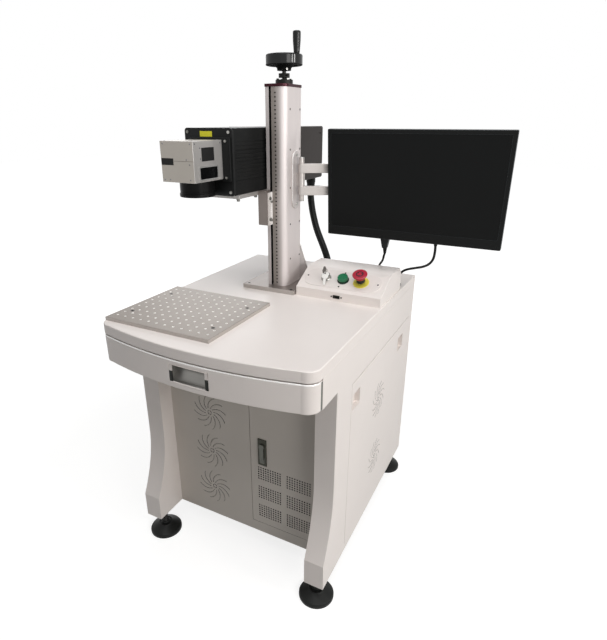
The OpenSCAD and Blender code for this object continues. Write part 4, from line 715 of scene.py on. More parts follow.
class MARKING_OT_stage(Operator):
    """Camera, floor, room light and lamps"""
    bl_idname = "marking.stage"
    bl_label = "Stage"

    def execute(self, context):
        scene, s = context.scene, context.scene.marking_stage
        scene.view_settings.view_transform = "Standard"
        camera = bpy.data.cameras.new("Camera")
        camera.lens, camera.sensor_width, camera.sensor_fit = s.lens, 36, "AUTO"
        camera.shift_x, camera.shift_y = 0.0202, 0.0089
        camera.clip_start, camera.clip_end = 0.05, 60
        heading, tilt, roll = (math.radians(angle) for angle in (27.48, 90 - 22.43, -0.08))
        scene.camera = object_of("Camera", camera)
        scene.camera.location = (0.64522, -1.16674, 1.18471)
        scene.camera.rotation_euler = (spun(heading, "Z") @ spun(tilt, "X") @ spun(roll, "Z")).to_euler()

        floor = object_of("floor", bpy.data.meshes.new("floor"))
        floor.data.from_pydata([(-14, -14, 0), (14, -14, 0), (14, 14, 0), (-14, 14, 0)], [], [(0, 1, 2, 3)])
        floor.data.materials.append(self.floor_finish(s))

        world = bpy.data.worlds.new("Room")
        scene.world = world
        world.use_nodes = True
        tree = world.node_tree
        tree.nodes.clear()
        even = node(tree, "ShaderNodeBackground", {"Color": (0.97, 0.98, 1.0, 1), "Strength": s.sky})
        white = node(tree, "ShaderNodeBackground", {"Color": (1, 1, 1, 1)})
        mix = node(tree, "ShaderNodeMixShader", {0: self.seen(tree), 1: even.outputs[0], 2: white.outputs[0]})
        node(tree, "ShaderNodeOutputWorld", {"Surface": mix.outputs[0]})

        warm, cool, strip = (1.0, 0.985, 0.965), (0.98, 0.99, 1.0), (1.0, 0.99, 0.975)
        for name, place, aim, size, power, colour in (
                ("side_lamp", (2.35, -1.5, 1.35), (0, 0, 0.6), (1.3, 1.3), s.side_lamp, warm),
                ("top_lamp", (0.4, -0.75, 3.15), (0, 0, 0.7), (2.4, 2.4), s.top_lamp, cool),
                ("front_lamp", (1.3, -3.0, 1.7), (0, 0, 0.8), (2.2, 2.2), s.front_lamp, (0.97, 0.985, 1.0)),
                ("back_lamp", (-1.7, 2.5, 1.9), (0, 0, 0.8), (2.0, 2.0), s.back_lamp, cool),
                ("strip_lamp_front", (2.526, -0.406, 1.55), (0, 0.05, 1.1), (0.27, 0.6), s.strip_lamp, strip),
                ("strip_lamp_back", (2.564, 0.317, 1.55), (0, 0.05, 1.1), (0.27, 0.6), s.strip_lamp, strip)):
            data = bpy.data.lights.new(name, "AREA")
            data.shape = "ELLIPSE" if size[0] == size[1] else "RECTANGLE"
            data.size, data.size_y = size
            data.energy, data.color = power, colour
            lamp = object_of(name, data)
            lamp.location = place
            lamp.rotation_euler = (Vector(aim) - Vector(place)).to_track_quat("-Z", "Y").to_euler()
        return {"FINISHED"}

    def seen(self, tree):
        """One where a camera ray, a reflection or a view through glass looks."""
        path = node(tree, "ShaderNodeLightPath").outputs
        first = maths(tree, "MAXIMUM", path["Is Camera Ray"], path["Is Glossy Ray"])
        return maths(tree, "MAXIMUM", first, path["Is Transmission Ray"])

    def floor_finish(self, s):
        mat = bpy.data.materials.new("pale_floor")
        mat.use_nodes = True
        tree = mat.node_tree
        tree.nodes.clear()
        matt = node(tree, "ShaderNodeBsdfDiffuse", {"Color": (*s.floor, 1)})
        place = node(tree, "ShaderNodeTexCoord").outputs["Object"]
        reach = node(tree, "ShaderNodeVectorMath", {0: place}, operation="LENGTH").outputs["Value"]
        strength = maths(tree, "MULTIPLY", self.seen(tree), spread(tree, reach, s.floor_lift, 1, 0.9, 2.2))
        lift = node(tree, "ShaderNodeEmission", {"Color": (1, 1, 1, 1), "Strength": strength})
        both = node(tree, "ShaderNodeAddShader", {0: matt.outputs[0], 1: lift.outputs[0]})
        node(tree, "ShaderNodeOutputMaterial", {"Surface": both.outputs[0]})
        return mat


class MARKING_OT_cords(Operator):
    """Conduit, signal cable and power cable with their glands and reliefs"""
    bl_idname = "marking.cords"
    bl_label = "Cords"

    def execute(self, context):
        make_finishes()
        reliefs = self.reliefs()
        for cad, name, route, radius, sides, mover, stiff, slot in (
                ("conduit", "conduit_sleeve", CONDUIT_ROUTE, 11, 28, "head", "stiff", "conduit_black"),
                ("signal_cable", "signal_lead", SIGNAL_ROUTE, 3.2, 14, "near_arm", "medium", "cable_black"),
                ("power_cable", "power_lead", POWER_ROUTE, 3.5, 14, "near_arm", "medium", "cable_black")):
            line = smooth_line(route)
            host = bpy.data.meshes.new(name)
            host.from_pydata([tuple(q) for q in line], [(i, i + 1) for i in range(len(line) - 1)], [])
            tree = tree_of("Sheath along a line", [("Radius", "Float"), ("Sides", "Int")], sheath)
            obj = run_tree(name, host, tree, {"Radius": radius * mm, "Sides": sides}, "sheath_black", 50)
            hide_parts(cad)
            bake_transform(obj)
        return {"FINISHED"}

    def reliefs(self):
        """Tapered reliefs at the upper ends and screwed glands in the table."""
        made, ribs = {}, 5
        for name, route, bore, r0, r1, long, body in (
                ("conduit_sleeve", CONDUIT_ROUTE, 11.2, 14.5, 12.2, 16, "head"),
                ("signal_lead", SIGNAL_ROUTE, 3.3, 6.2, 3.7, 17, "monitor"),
                ("power_lead", POWER_ROUTE, 3.6, 7.0, 4.0, 22, "monitor")):
            profile = [(bore, 0)]
            for k in range(ribs):
                a, b, c = ((k + share) / ribs for share in (0, 0.62, 1))
                r = r0 + (r1 - r0) * b
                profile += [(r0 + (r1 - r0) * a, long * a), (r, long * b), (r - 0.5, long * b + 0.1),
                            (r - 0.6, long * c - 0.1)]
            place = at(*route[0], Vector(route[1]) - Vector(route[0]))
            made[name] = piece(name + "_relief", [(lathe, profile + [(bore, long)], place, 28, True)],
                               "sheath_black", body)
        steps = []
        for x, y, r in TABLE_GLANDS:
            here = moved(x, y, 728)
            steps += [(lathe, [(0, 0), (r, 0), (r, 1.4), (r - 0.5, 1.9), (r - 1.6, 2), (r - 1.6, 2.6)], here, 40),
                      (lathe, [(r - 1.6, 2.6), (r - 0.4, 2.6), (r - 0.4, 6.8), (r - 1.8, 8), (0, 8)], here, 6)]
        piece("table_gland_nuts", steps, "sheath_black", "cabinet", ("cable_glands",))
        return made


class MARKING_OT_cabinet(Operator):
    """Side frames, slab, panels and side covers"""
    bl_idname = "marking.cabinet"
    bl_label = "Cabinet"

    def execute(self, context):
        make_finishes()
        c = context.scene.marking_cabinet
        frame_low, frame_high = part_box("side_frame_right")
        inner = half_w - 54 * mm
        rim = rims(cover_low, cover_high, "yz")

        def outside(p):
            """Edges of the outer face, and of the leg's inner face where they show."""
            return near(abs(p.x), half_w) or (near(abs(p.x), inner) and (
                p.y < frame_low.y + 0.0005 or p.y > frame_high.y - 0.0005 or p.z < 0.0715))

        # These tests pick the walls of the holes in the front panel and the side vents, which get painted shade.
        def cut_through(c, n):
            return abs(n.y) < 0.3 and abs(c.x) < inner - 0.003 and c.z < 0.62 and c.y < panel_y + 0.0021

        def in_vent(c, n):
            return abs(n.x) < 0.3 and abs(c.x) > half_w - 2.1 * mm and min(
                (c.y - 0.06) ** 2 + (c.z - z) ** 2 for z in (0.438, 0.239)) < 0.07 ** 2

        def table_edge(p):
            """The slab's outline, away from the holes for the plate and the drawer."""
            return not (-0.31 < p.x < 0.08 and -0.37 < p.y < 0.24 and abs(p.x) < half_w - 0.004)

        for side in ("left", "right"):
            soften("side_frame_" + side, "body_powder_coat", [(c.edge / mm, outside)])
            soften("side_cover_" + side, "body_powder_coat",
                   [(0.7, lambda p: near(abs(p.x), half_w) and rim(p))], paint=[("cut_edge", in_vent)])
        soften("table_top", "body_powder_coat",
               [(c.slab_edge / mm, lambda p: p.z > table_z - 0.0004 and table_edge(p)),
                (1.2, lambda p: p.z < slab_z + 0.0004 and table_edge(p))])
        soften("front_panel", "panel_powder_coat", paint=[("cut_edge", cut_through)])
        soften("floor_back_panel", "panel_powder_coat")
        self.vents(c)
        return {"FINISHED"}

    def vents(self, c):
        """Small bridges that turn the vents' slots into rows of holes."""
        radius, bend = 54 * mm, 54 * 0.62 * mm  # of the vent, and of its curved arms
        first, last = (2 * math.asin(radius * share / (2 * bend)) for share in (0.26, 1))
        count = int((last - first) * bend / c.dot_pitch)
        turns = [first + (k + 0.75) * (last - first) / count for k in range(count)]
        dots = [spun(arm * math.pi / 6, "Z") @ Matrix.Translation((bend - bend * math.cos(t), bend * math.sin(t), 0))
                @ spun(-t, "Z") for arm in range(12) for t in turns]
        size = (2.4 * mm, c.dot_bridge, 1.5 * mm)
        upright = spun(math.pi / 2, "X")
        sideways = spun(math.pi / 2, "Z") @ upright
        bar = formed("bridge", [UNIT_CUBE])
        for name, x, y, heights, turn, *rest in (
                ("front", -0.1055, panel_y + 1 * mm, (0.175, 0.303, 0.431), upright, "panel_powder_coat", "cabinet",
                 "panel_paint"),
                ("left", 1 * mm - half_w, 0.06, (0.438, 0.239), sideways, "body_powder_coat", "left_cover",
                 "body_paint"),
                ("right", half_w - 1 * mm, 0.06, (0.438, 0.239), sideways, "body_powder_coat", "right_cover",
                 "body_paint")):
            stamp(name + "_vent_bridges", bar,
                  [(Matrix.Translation((x, y, z)) @ turn @ dot, size) for z in heights for dot in dots], *rest)
        drop(bar)


class MARKING_OT_feet(Operator):
    """Levelling feet with moulded pads, threads and nuts"""
    bl_idname = "marking.feet"
    bl_label = "Levelling feet"

    def execute(self, context):
        make_finishes()
        pad = [(0, 0), (47, 0), (47, 6.8), (46.3, 7.9), (45.5, 8.2), (44.9, 10.5), (43.4, 11.8), (33, 17.8),
               (22.5, 23.8), (21.2, 25.5), (20.5, 26.2), (19.2, 26.2), (18.6, 25), (13, 25), (12.6, 30), (11.2, 32),
               (0, 32)]
        thread = [(0, 31.5), (7.4, 31.5)]
        for k in range(18):
            z = 32.5 + 1.5 * k
            thread += [(7, z), (6.3, z + 0.75), (7, z + 1.5)]
        thread += [(6.8, 59.8), (0, 59.8)]
        nut = [(0, 60), (11.8, 60), (13, 61.2), (13, 69.8), (11.8, 71), (0, 71)]
        spots = [moved(x, y, 0) for x in (-259, 259) for y in (-276, 338)]
        piece("foot_pads", [(lathe, pad, here, 72) for here in spots], "foot_moulding", "cabinet",
              ("levelling_feet",))
        piece("foot_threads", [(lathe, profile, here, sides) for here in spots
                               for profile, sides in ((thread, 28), (nut, 6))],
              "screw_black", "cabinet")
        return {"FINISHED"}


def bowed_bar(bm, low, high):
    """A thin bar between two heights along the drawer's bowed front."""
    bow = (261 ** 2 + 31 ** 2) / 62
    rings = []
    for x in np.linspace(-53.5, 53.5, 25):
        y = -416 + bow - math.sqrt(bow * bow - x * x)
        rings.append([bm.verts.new(Vector((x, y + dy, z)) * mm) for dy, z in
                      ((1.6, low), (-0.4, low + 0.3), (-0.4, high - 0.3), (1.6, high))])
    join_rings(bm, rings, caps=True)


class MARKING_OT_drawer(Operator):
    """Drawer front, recessed pull, tray and runners"""
    bl_idname = "marking.drawer"
    bl_label = "Drawer"

    def execute(self, context):
        make_finishes()
        low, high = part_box("drawer_front")

        def skin(p):
            return near(p.z, low.z) or near(p.z, high.z)

        def mouth(p):
            """The visible edge of the pull's opening in the front skin."""
            return abs(p.x) < 0.0546 and 0.6405 < p.z < 0.6875 and p.y < -0.4135

        soften("drawer_front", "body_powder_coat", [(3, skin), (1.8, mouth)],
               # the slanted faces of the eased top edge get the painted highlight
               paint=[("edge_bright", lambda c, n: c.z > high.z - 0.0032 and 0.1 < n.z < 0.97 and n.y < -0.1)])
        low, high = low / mm, high / mm
        # Dark strips at the drawer front's ends: painted shade in the gaps beside the side frames.
        ends = [sorted((s * (high.x - 0.8), s * (high.x + 0.1))) for s in (-1, 1)]
        piece("drawer_end_strips", [(block, (x0, high.y - 8.2, low.z + 1.5), (x1, high.y - 0.2, high.z - 1.5))
                                    for x0, x1 in ends], "lever_dark", "drawer")
        soften("drawer_tray", "panel_powder_coat")
        soften("drawer_runners", "runner_zinc")
        soften("drawer_pull", "pull_metallic", angle=40,
               paint=[("body_powder_coat", lambda c, n: c.y < -0.4105 and n.y < -0.7)])
        z0, z1 = 643.5, 684.5  # the scoop's lower and upper edges
        for name, bottom, top, material, slot in (
                ("pull_ends", z0 - 1, 669, "pull_end_black", "gland_black"),
                ("pull_end_pads", 669.2, z1 + 1, "body_powder_coat", "pull_grey")):
            piece(name, [(block, (x, -414.3, bottom), (x + 8, -411.7, top), 0.5) for x in (-53, 45)],
                  material, "drawer")
        piece("pull_frame", [(bowed_bar, z0 - 2.6, z0 - 0.8), (bowed_bar, z1 + 0.8, z1 + 2.6)], "body_powder_coat",
              "drawer")
        return {"FINISHED"}


class MARKING_OT_door(Operator):
    """Perforated door, hinges, lock plate and lever"""
    bl_idname = "marking.door"
    bl_label = "Door"

    def execute(self, context):
        make_finishes()
        rim = rims(Vector((0.026, 0, 0.106)), Vector((0.233, 0, 0.606)), "xz")
        # the door takes the recess paint, and the walls of its perforations get painted shade
        soften("front_door", "panel_powder_coat", [(0.8, lambda p: near(p.y, -0.215) and rim(p))],
               paint=[("cut_edge", lambda c, n: abs(n.y) < 0.3 and c.y < -0.2129 and 0.03 < c.x < 0.229
                       and 0.11 < c.z < 0.602)])
        soften("door_hinges", "lever_zinc", angle=40)
        soften("door_lock_plate", "lock_casting", [(0.9, lambda p: p.y < -0.2174)])
        soften("door_lock_lever", "lever_dark", [(0.8, lambda p: p.y < -0.2180)], angle=40)
        place = at(64, -218, 331, (0, -1, 0))
        piece("lock_cylinder", [(slab_of, 15, 22, 3, 0.7, place, 0.3),
                                (lathe, [(0, 0), (4.2, 0), (4.2, 1.6), (3.6, 2.1), (1.4, 2.1), (1.2, 1.2), (0, 1.2)],
                                 place, 28)], "lever_dark", "door")
        return {"FINISHED"}


class MARKING_OT_work_plate(Operator):
    """Drilled work plate with painted-glint rims round its holes, and its screws"""
    bl_idname = "marking.work_plate"
    bl_label = "Work plate"

    def execute(self, context):
        make_finishes()
        p = context.scene.marking_plate
        rim = rims(plate_low, plate_high)
        soften("work_plate", "plate_anodised",
               [(0.7, lambda q: q.z > plate_high.z - 0.0004 and rim(q))],
               paint=[("plate_side", lambda c, n: abs(n.z) < 0.3 and rim(c))])
        tree = tree_of("Hole rims", [("Pitch", "Float"), ("Columns", "Int"), ("Rows", "Int"), ("Rim radius", "Float"),
                                     ("Rim thickness", "Float"), ("Place", "Vector")], self.rings)
        keep(run_tree("hole_rims", bpy.data.meshes.new("hole_rims"), tree,
                      {"Pitch": p.pitch, "Columns": p.columns, "Rows": p.rows, "Rim radius": p.rim_radius,
                       "Rim thickness": p.rim_thick, "Place": (-0.135, -0.2245, plate_high.z - 0.5 * mm)},
                      "hole_rim_bright", 60), "cabinet")
        screws = frame["nodes"]["cap_screws"].data.materials
        screws.clear()
        screws.append(finishes["screw_black"])
        return {"FINISHED"}

    def rings(self, tree, given):
        """A ring round every point of a grid."""
        sizes = {}
        for side, count in (("X", "Columns"), ("Y", "Rows")):
            less = maths(tree, "SUBTRACT", given[count], 1)
            sizes["Size " + side] = maths(tree, "MULTIPLY", less, given["Pitch"])
            sizes["Vertices " + side] = given[count]
        grid = node(tree, "GeometryNodeMeshGrid", sizes)
        spots = node(tree, "GeometryNodeTransform", {"Geometry": grid.outputs["Mesh"], "Translation": given["Place"]})
        rim, section = (node(tree, "GeometryNodeCurvePrimitiveCircle", {"Resolution": count, "Radius": given[radius]})
                        for count, radius in ((20, "Rim radius"), (6, "Rim thickness")))
        ring = node(tree, "GeometryNodeCurveToMesh", {"Curve": rim.outputs["Curve"],
                                                      "Profile Curve": section.outputs["Curve"]})
        return instances(tree, spots.outputs[0], ring.outputs[0])


class MARKING_OT_column(Operator):
    """Column with its height marks, base, cap and screws"""
    bl_idname = "marking.column"
    bl_label = "Column"

    def execute(self, context):
        make_finishes()
        top, foot = column_high.z, column_low.z
        side, front = rims(column_low, column_high, "x"), rims(column_low, column_high, "y")
        soften("column_base", "base_anodised",
               [(0.8, lambda p: near(p.z, foot) and (abs(p.x + 0.045) > 0.0825 or abs(p.y - 0.112) > 0.0945))],
               # the gusset's outer face gets the darker column metal: painted shade
               paint=[("gusset_sheet", lambda c, n: n.x > 0.9 and c.z > foot + 0.002 and c.x > -0.001),
                      ("plate_side", lambda c, n: abs(n.z) < 0.9 and c.z < foot + 0.0002)])
        soften("column", "column_brushed",
               [(1.2, lambda p: foot + 0.001 < p.z < top - 0.001 and side(p) and front(p))], angle=35,
               # the strip left of the slot gets the darker column metal, a lighter level of the painted shade; faces
               # inside the hollow get painted shade
               paint=[("gusset_sheet", lambda c, n: c.x < -0.047 and n.y < -0.9 and c.y < column_low.y + 0.0004),
                      ("bearing_blackened", self.within)])
        soften("column_cap", "cap_maroon", [(0.8, everywhere)], angle=35)
        soften("guide_rods", "screw_ground")
        soften("lead_screw", "screw_ground", paint=[("screw_black", lambda c, n: c.z > 1.283)])
        soften("screw_bearing", "bearing_blackened", angle=35)
        soften("carriage", "base_anodised", [(0.6, lambda p: p.y < 0.0204)],
               paint=[("web_polished", lambda c, n: n.x > 0.9 and c.y < 0.0525)])
        self.ticks(context.scene.marking_column)
        self.screws(column_high.x / mm)
        return {"FINISHED"}

    def within(self, c, n):
        """Faces inside the hollow column, which get painted shade."""
        away = c - (column_low + column_high) / 2
        return (abs(n.z) < 0.5 and n.x * away.x + n.y * away.y < 0
                and column_low.x + 0.0015 < c.x < column_high.x - 0.0015
                and column_low.y + 0.0015 < c.y < column_high.y - 0.0015)

    def screws(self, right):
        head = formed("socket_screw", [(socket_head, 3.4, 3.6, 1.7)])
        ring = [math.radians(a) for a in (-152, -32, 88)]
        stamp("bearing_screws", head, [at(-26 + 16.9 * math.cos(a), 90 + 16.9 * math.sin(a), 1281) for a in ring],
              "key_bright", "cabinet", "steel_bright")
        # A bright rod along the gusset's sloping edge: a painted highlight for the light on that edge.
        along = Vector((0, 67, -110))
        inset = Vector((0, along.z, -along.y)).normalized() * 4.5
        start, reach = Vector((right + 0.4, 135, 850)) + inset, along.length
        piece("gusset_edge", [(lathe, [(0, 0), (1.4, 0), (1.9, 0.5), (1.9, reach), (0, reach)], at(*start, along), 16)],
              "edge_bright", "cabinet")
        small = formed("side_screw", [(pan_head, 2.7, 0.5)])
        places = [at(right, y, 817 + 98.7 * k, (1, 0, 0)) for y in (72.5, 129) for k in range(5)]
        places += [at(right + 0.6, y, z, (1, 0, 0)) for y, z in ((139.5, 838), (171.5, 785.5))]
        stamp("column_side_screws", small, places, "tick_print", "cabinet", "bearing_dark")
        stamp("web_screws", head, [at(-40.8, 37, z, (1, 0, 0)) for z in (980, 930)], "screw_nickel", "head",
              "steel_bright")
        drop(head, small)

    def ticks(self, c):
        """Printed height marks down the front face, long ones at each pitch and fine ones between."""
        tree = tree_of("Height marks", [("Pitch", "Float"), ("Count", "Int"), ("Mark", "Vector"), ("Place", "Vector")],
                       self.marks)
        top, thin = column_high.z - 14 * mm, 0.25 * mm
        count = int((top - column_low.z) / c.tick_pitch)
        for name, pitch, number, size in (
                ("height_marks", c.tick_pitch, count, (c.tick_long, thin, c.tick_wide)),
                ("fine_height_marks", c.tick_pitch / 5, count * 5, (c.tick_long * 0.5, thin, 0.35 * mm))):
            keep(run_tree(name, bpy.data.meshes.new(name), tree,
                          {"Pitch": pitch, "Count": number, "Mark": size,
                           "Place": (-0.0288, column_low.y - 0.02 * mm, top)}, "tick_print"),
                 "cabinet")

    def marks(self, tree, given):
        """A bar at each step down a line."""
        step = node(tree, "ShaderNodeCombineXYZ", {"Z": maths(tree, "MULTIPLY", given["Pitch"], -1)})
        line = node(tree, "GeometryNodeMeshLine", {"Count": given["Count"], "Start Location": given["Place"],
                                                   "Offset": step.outputs[0]}, mode="OFFSET")
        bar = node(tree, "GeometryNodeMeshCube", {"Size": given["Mark"]})
        return instances(tree, line.outputs[0], bar.outputs["Mesh"])


class MARKING_OT_handwheel(Operator):
    """Handwheel, hub, collar and turning grip"""
    bl_idname = "marking.handwheel"
    bl_label = "Handwheel"

    def execute(self, context):
        make_finishes()
        # the rim's radius, its lower and upper faces and the top of the grip's stud
        r, z0, z1, top = 47.45, 1313.6, 1339.3, wheel_top / mm
        inner = r - 14
        wheel = [(5.3, 1302.4), (17.2, 1302.4), (18, 1303.2), (18, 1307), (18.6, 1308), (21.5, 1311), (25, 1314.6),
                 (28.5, 1318.6), (inner + 1, 1320.5), (inner + 1.5, z0 + 1), (inner + 3, z0), (r - 3.2, z0),
                 (r - 1.2, z0 + 0.7), (r - 0.2, z0 + 2), (r, z0 + 4), (r, z1 - 4), (r - 0.2, z1 - 2),
                 (r - 1.2, z1 - 0.7), (r - 3.2, z1), (inner + 3.4, z1), (inner + 1.2, z1 - 0.9), (inner + 0.3, z1 - 3),
                 (inner + 0.3, 1327.5), (24, 1329), (18.2, 1330.6), (16.6, 1330.9), (6, 1330.9), (5.3, 1330.2)]
        stud = [(0, 1335), (5.6, 1335), (5.6, 1339.25), (3.5, 1339.3), (3.5, top), (0, top)]
        x, y = ((grip_low + grip_high) / 2 / mm).xy
        piece("wheel_rim_and_hub", [(lathe, wheel, moved(-26, 90, 0), 96, True), (lathe, stud, moved(x, y, 0), 28)],
              "wheel_gloss", "screw", ("handwheel",), angle=38,
              paint=[("wheel_under", lambda c, n: n.z < -0.3 or (c.z < z0 * mm and n.z < 0.2))])
        grip = [(3.56, 0), (7.2, 0), (7.8, 0.7), (8, 6), (8.6, 13), (9.3, 20), (9.8, 27), (10, 33), (10, 45.2),
                (9.7, 46.8), (8.9, 48), (7.4, 48.7), (4.5, 48.95), (0, 49), (0, 46.9), (3.56, 46.8)]
        piece("turning_grip", [(lathe, grip, moved(x, y, grip_low.z / mm), 56)], "grip_moulding", "grip",
              ("wheel_grip",), angle=40, merge=True)
        soften("clamp_collar", "bearing_blackened", [(0.5, everywhere)], angle=35)
        head = formed("clamp_screw", [(socket_head, 2.4, 2.4, 1.2)])
        stamp("collar_screw", head, [at(-12.6, 84.4, 1291, (0.35, -1, 0))], "screw_black", "screw", "steel_dark")
        out = Vector((math.cos(math.radians(-40)), math.sin(math.radians(-40)), 0))
        stamp("hub_screw", head, [at(*(Vector((-26, 90, 1304.8)) + 17.9 * out), out)], "key_bright", "screw",
              "steel_bright")
        drop(head)
        return {"FINISHED"}


class MARKING_OT_laser(Operator):
    """Laser body, front flange, head plate and bracket"""
    bl_idname = "marking.laser"
    bl_label = "Laser body"

    def execute(self, context):
        make_finishes()
        side = rims(laser_low, laser_high, "x")
        soften("laser_body", "laser_anodised",
               [(2.2, lambda p: p.z > 1.1679 or (near(p.z, 1.010, 0.3) and side(p))),
                (2.2, lambda p: p.y > 0.4246)], angle=38, paint=[("sheath_black", lambda c, n: c.z < 1.0095)])
        soften("front_flange", "flange_black", [(0.9, lambda p: p.y < flange_y + 0.0055)],
               angle=38)
        soften("head_plate", "scan_head_milled", [(0.8, everywhere)],
               # the head plate's eased front corner is painted the polished finish: a painted highlight
               paint=[("web_polished", lambda c, n: 0.2 < n.x < 0.95 and n.y < -0.2)])
        soften("carriage_bracket", "base_anodised", [(0.8, everywhere)])
        soften("head_screws", "screw_grey", angle=35,
               paint=[("screw_nickel", lambda c, n: -0.088 < c.x < -0.071)])
        piece("yellow_tag", [(slab_of, 36, 12.6, 0.6, 0.5, at(-138.5, -107, 1154.7, (0, -1, 0)), 0.2)],
              "tag_yellow", "head")
        bolt = [(0, 0), (5.6, 0), (5.6, 1), (4.2, 1), (4.2, 6.5), (3.6, 7.2), (0, 7.2)]
        piece("head_plate_bolts", [(lathe, bolt, at(-80, y, 998, (0, 0, -1)), 24) for y in (-64, 22)],
              "screw_grey", "head")

        low, high, bottom = laser_low / mm, laser_high / mm, 1010
        wide, tall = high.x - low.x, high.z - bottom
        place = moved((low.x + high.x) / 2, 90, (bottom + high.z) / 2) @ spun(math.pi / 2, "X")
        piece("rear_cover_seam", [(sheet_ring, rounded_outline(wide + 1.2, tall + 1.2, 3),
                                   rounded_outline(wide - 2, tall - 2, 2), -0.9, 0.9, place)],
              "flange_black", "head")
        head = formed("cover_screw", [(pan_head, 3, 1.8)])
        places = [at(x, y, z, (out, 0, 0)) for x, out in ((low.x, -1), (high.x, 1)) for y in (105, 405)
                  for z in (1030, 1148)]
        places += [at(x, high.y, z, (0, 1, 0)) for z in (1030, 1148) for x in (low.x + 20, high.x - 20)]
        stamp("rear_cover_screws", head, places, "screw_black", "head", "steel_dark")
        drop(head)
        return {"FINISHED"}


class MARKING_OT_scan_head(Operator):
    """Scan head with its plates, window, mirrors and lens"""
    bl_idname = "marking.scan_head"
    bl_label = "Scan head"

    def execute(self, context):
        make_finishes()
        # The eased edges of the scan head get the painted highlight.
        soften("galvo_housing", "scan_head_blasted", [(0.7, everywhere)], angle=38,
               paint=[("scan_head_milled", lambda c, n: n.x > 0.5 and c.x > galvo_high.x - 0.002),
                      ("edge_bright", lambda c, n: max(abs(n.x), abs(n.y), abs(n.z)) < 0.985)])
        soften("galvo_motors", "motor_turned", angle=38)
        soften("mirror_x", "mirror_coated")
        soften("mirror_y", "mirror_coated")
        self.lens()
        low, high = galvo_low / mm, galvo_high / mm
        front, right = low.y, high.x
        piece("bare_plates", [(slab_of, 35, 15, 0.6, 0.5, at(-165.5, front, 1097, (0, -1, 0)), 0.2),
                              (slab_of, 48, 30, 0.8, 0.6, at(right, -170, 1112.3, (1, 0, 0)), 0.2)],
              "plate_black", "head")
        place = at(right, -169, 1070.5, (1, 0, 0))
        # a polished frame round the window; its pale colour is also a painted highlight on the window's edge
        piece("window_frame", [(sheet_ring, rounded_outline(75, 32.5, 3), rounded_outline(68, 26, 2), 0, 0.9, place)],
              "frame_polished", "head")
        piece("window_glass", [(slab_of, 68.4, 26.4, 2, 0.35, place)], "window_dark", "head")
        piece("scan_head_seam", [(block, (-146.3, front - 0.12, 1098.4), (right - 0.6, front + 0.2, 1099))],
              "tick_print", "head")
        head = formed("small_screw", [(pan_head, 1.7, 0.9)])
        places = [at(x, front, z, (0, -1, 0)) for x, z in ((-109.9, 1102.3), (-101.7, 1091.4), (-160.6, 1057.1),
                                                          (-102, 1057.8), (-176, 1057.1), (-176, 1136), (-98, 1136))]
        places += [at(right, y, z, (1, 0, 0)) for y, z in ((-200, 1126.9), (-199.5, 1103.5), (-120, 1136),
                                                           (-218, 1136))]
        places += [at(low.x, y, z, (-1, 0, 0)) for y in (-218, -120) for z in (1058, 1135)]
        places += [at(x, y, high.z) for x in (-176, -98) for y in (-217, -120)]
        stamp("scan_head_screws", head, places, "motor_turned", "head", "motor_grey")
        drop(head)
        return {"FINISHED"}

    def lens(self):
        """Lens barrel with its knurled lip and glass."""
        low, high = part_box("scan_lens")
        place = Matrix.Translation(((low.x + high.x) / 2, (low.y + high.y) / 2, low.z))
        barrel = [(34.6, 3), (35.2, 2.6), (35.2, 0.8), (36.4, 0), (42.6, 0), (43.4, 0.8), (43.4, 7.2), (42.9, 7.9),
                  (41.9, 8.6), (41.9, 12), (41.4, 12.4), (41.4, 13.4), (41.9, 13.8), (41.9, 37.2), (41.2, 38),
                  (29.1, 38), (29.1, 41.9), (0, 41.9)]
        glass = [(0, 2.2), (12, 2.3), (24, 2.6), (34.9, 3.1), (34.9, 4), (0, 4)]
        piece("lens_barrel", [(lathe, barrel, place, 96)], "lens_barrel", "head", ("scan_lens",),
              angle=38)
        piece("lens_glass", [(lathe, glass, place, 64)], "lens_glass", "head", angle=60)


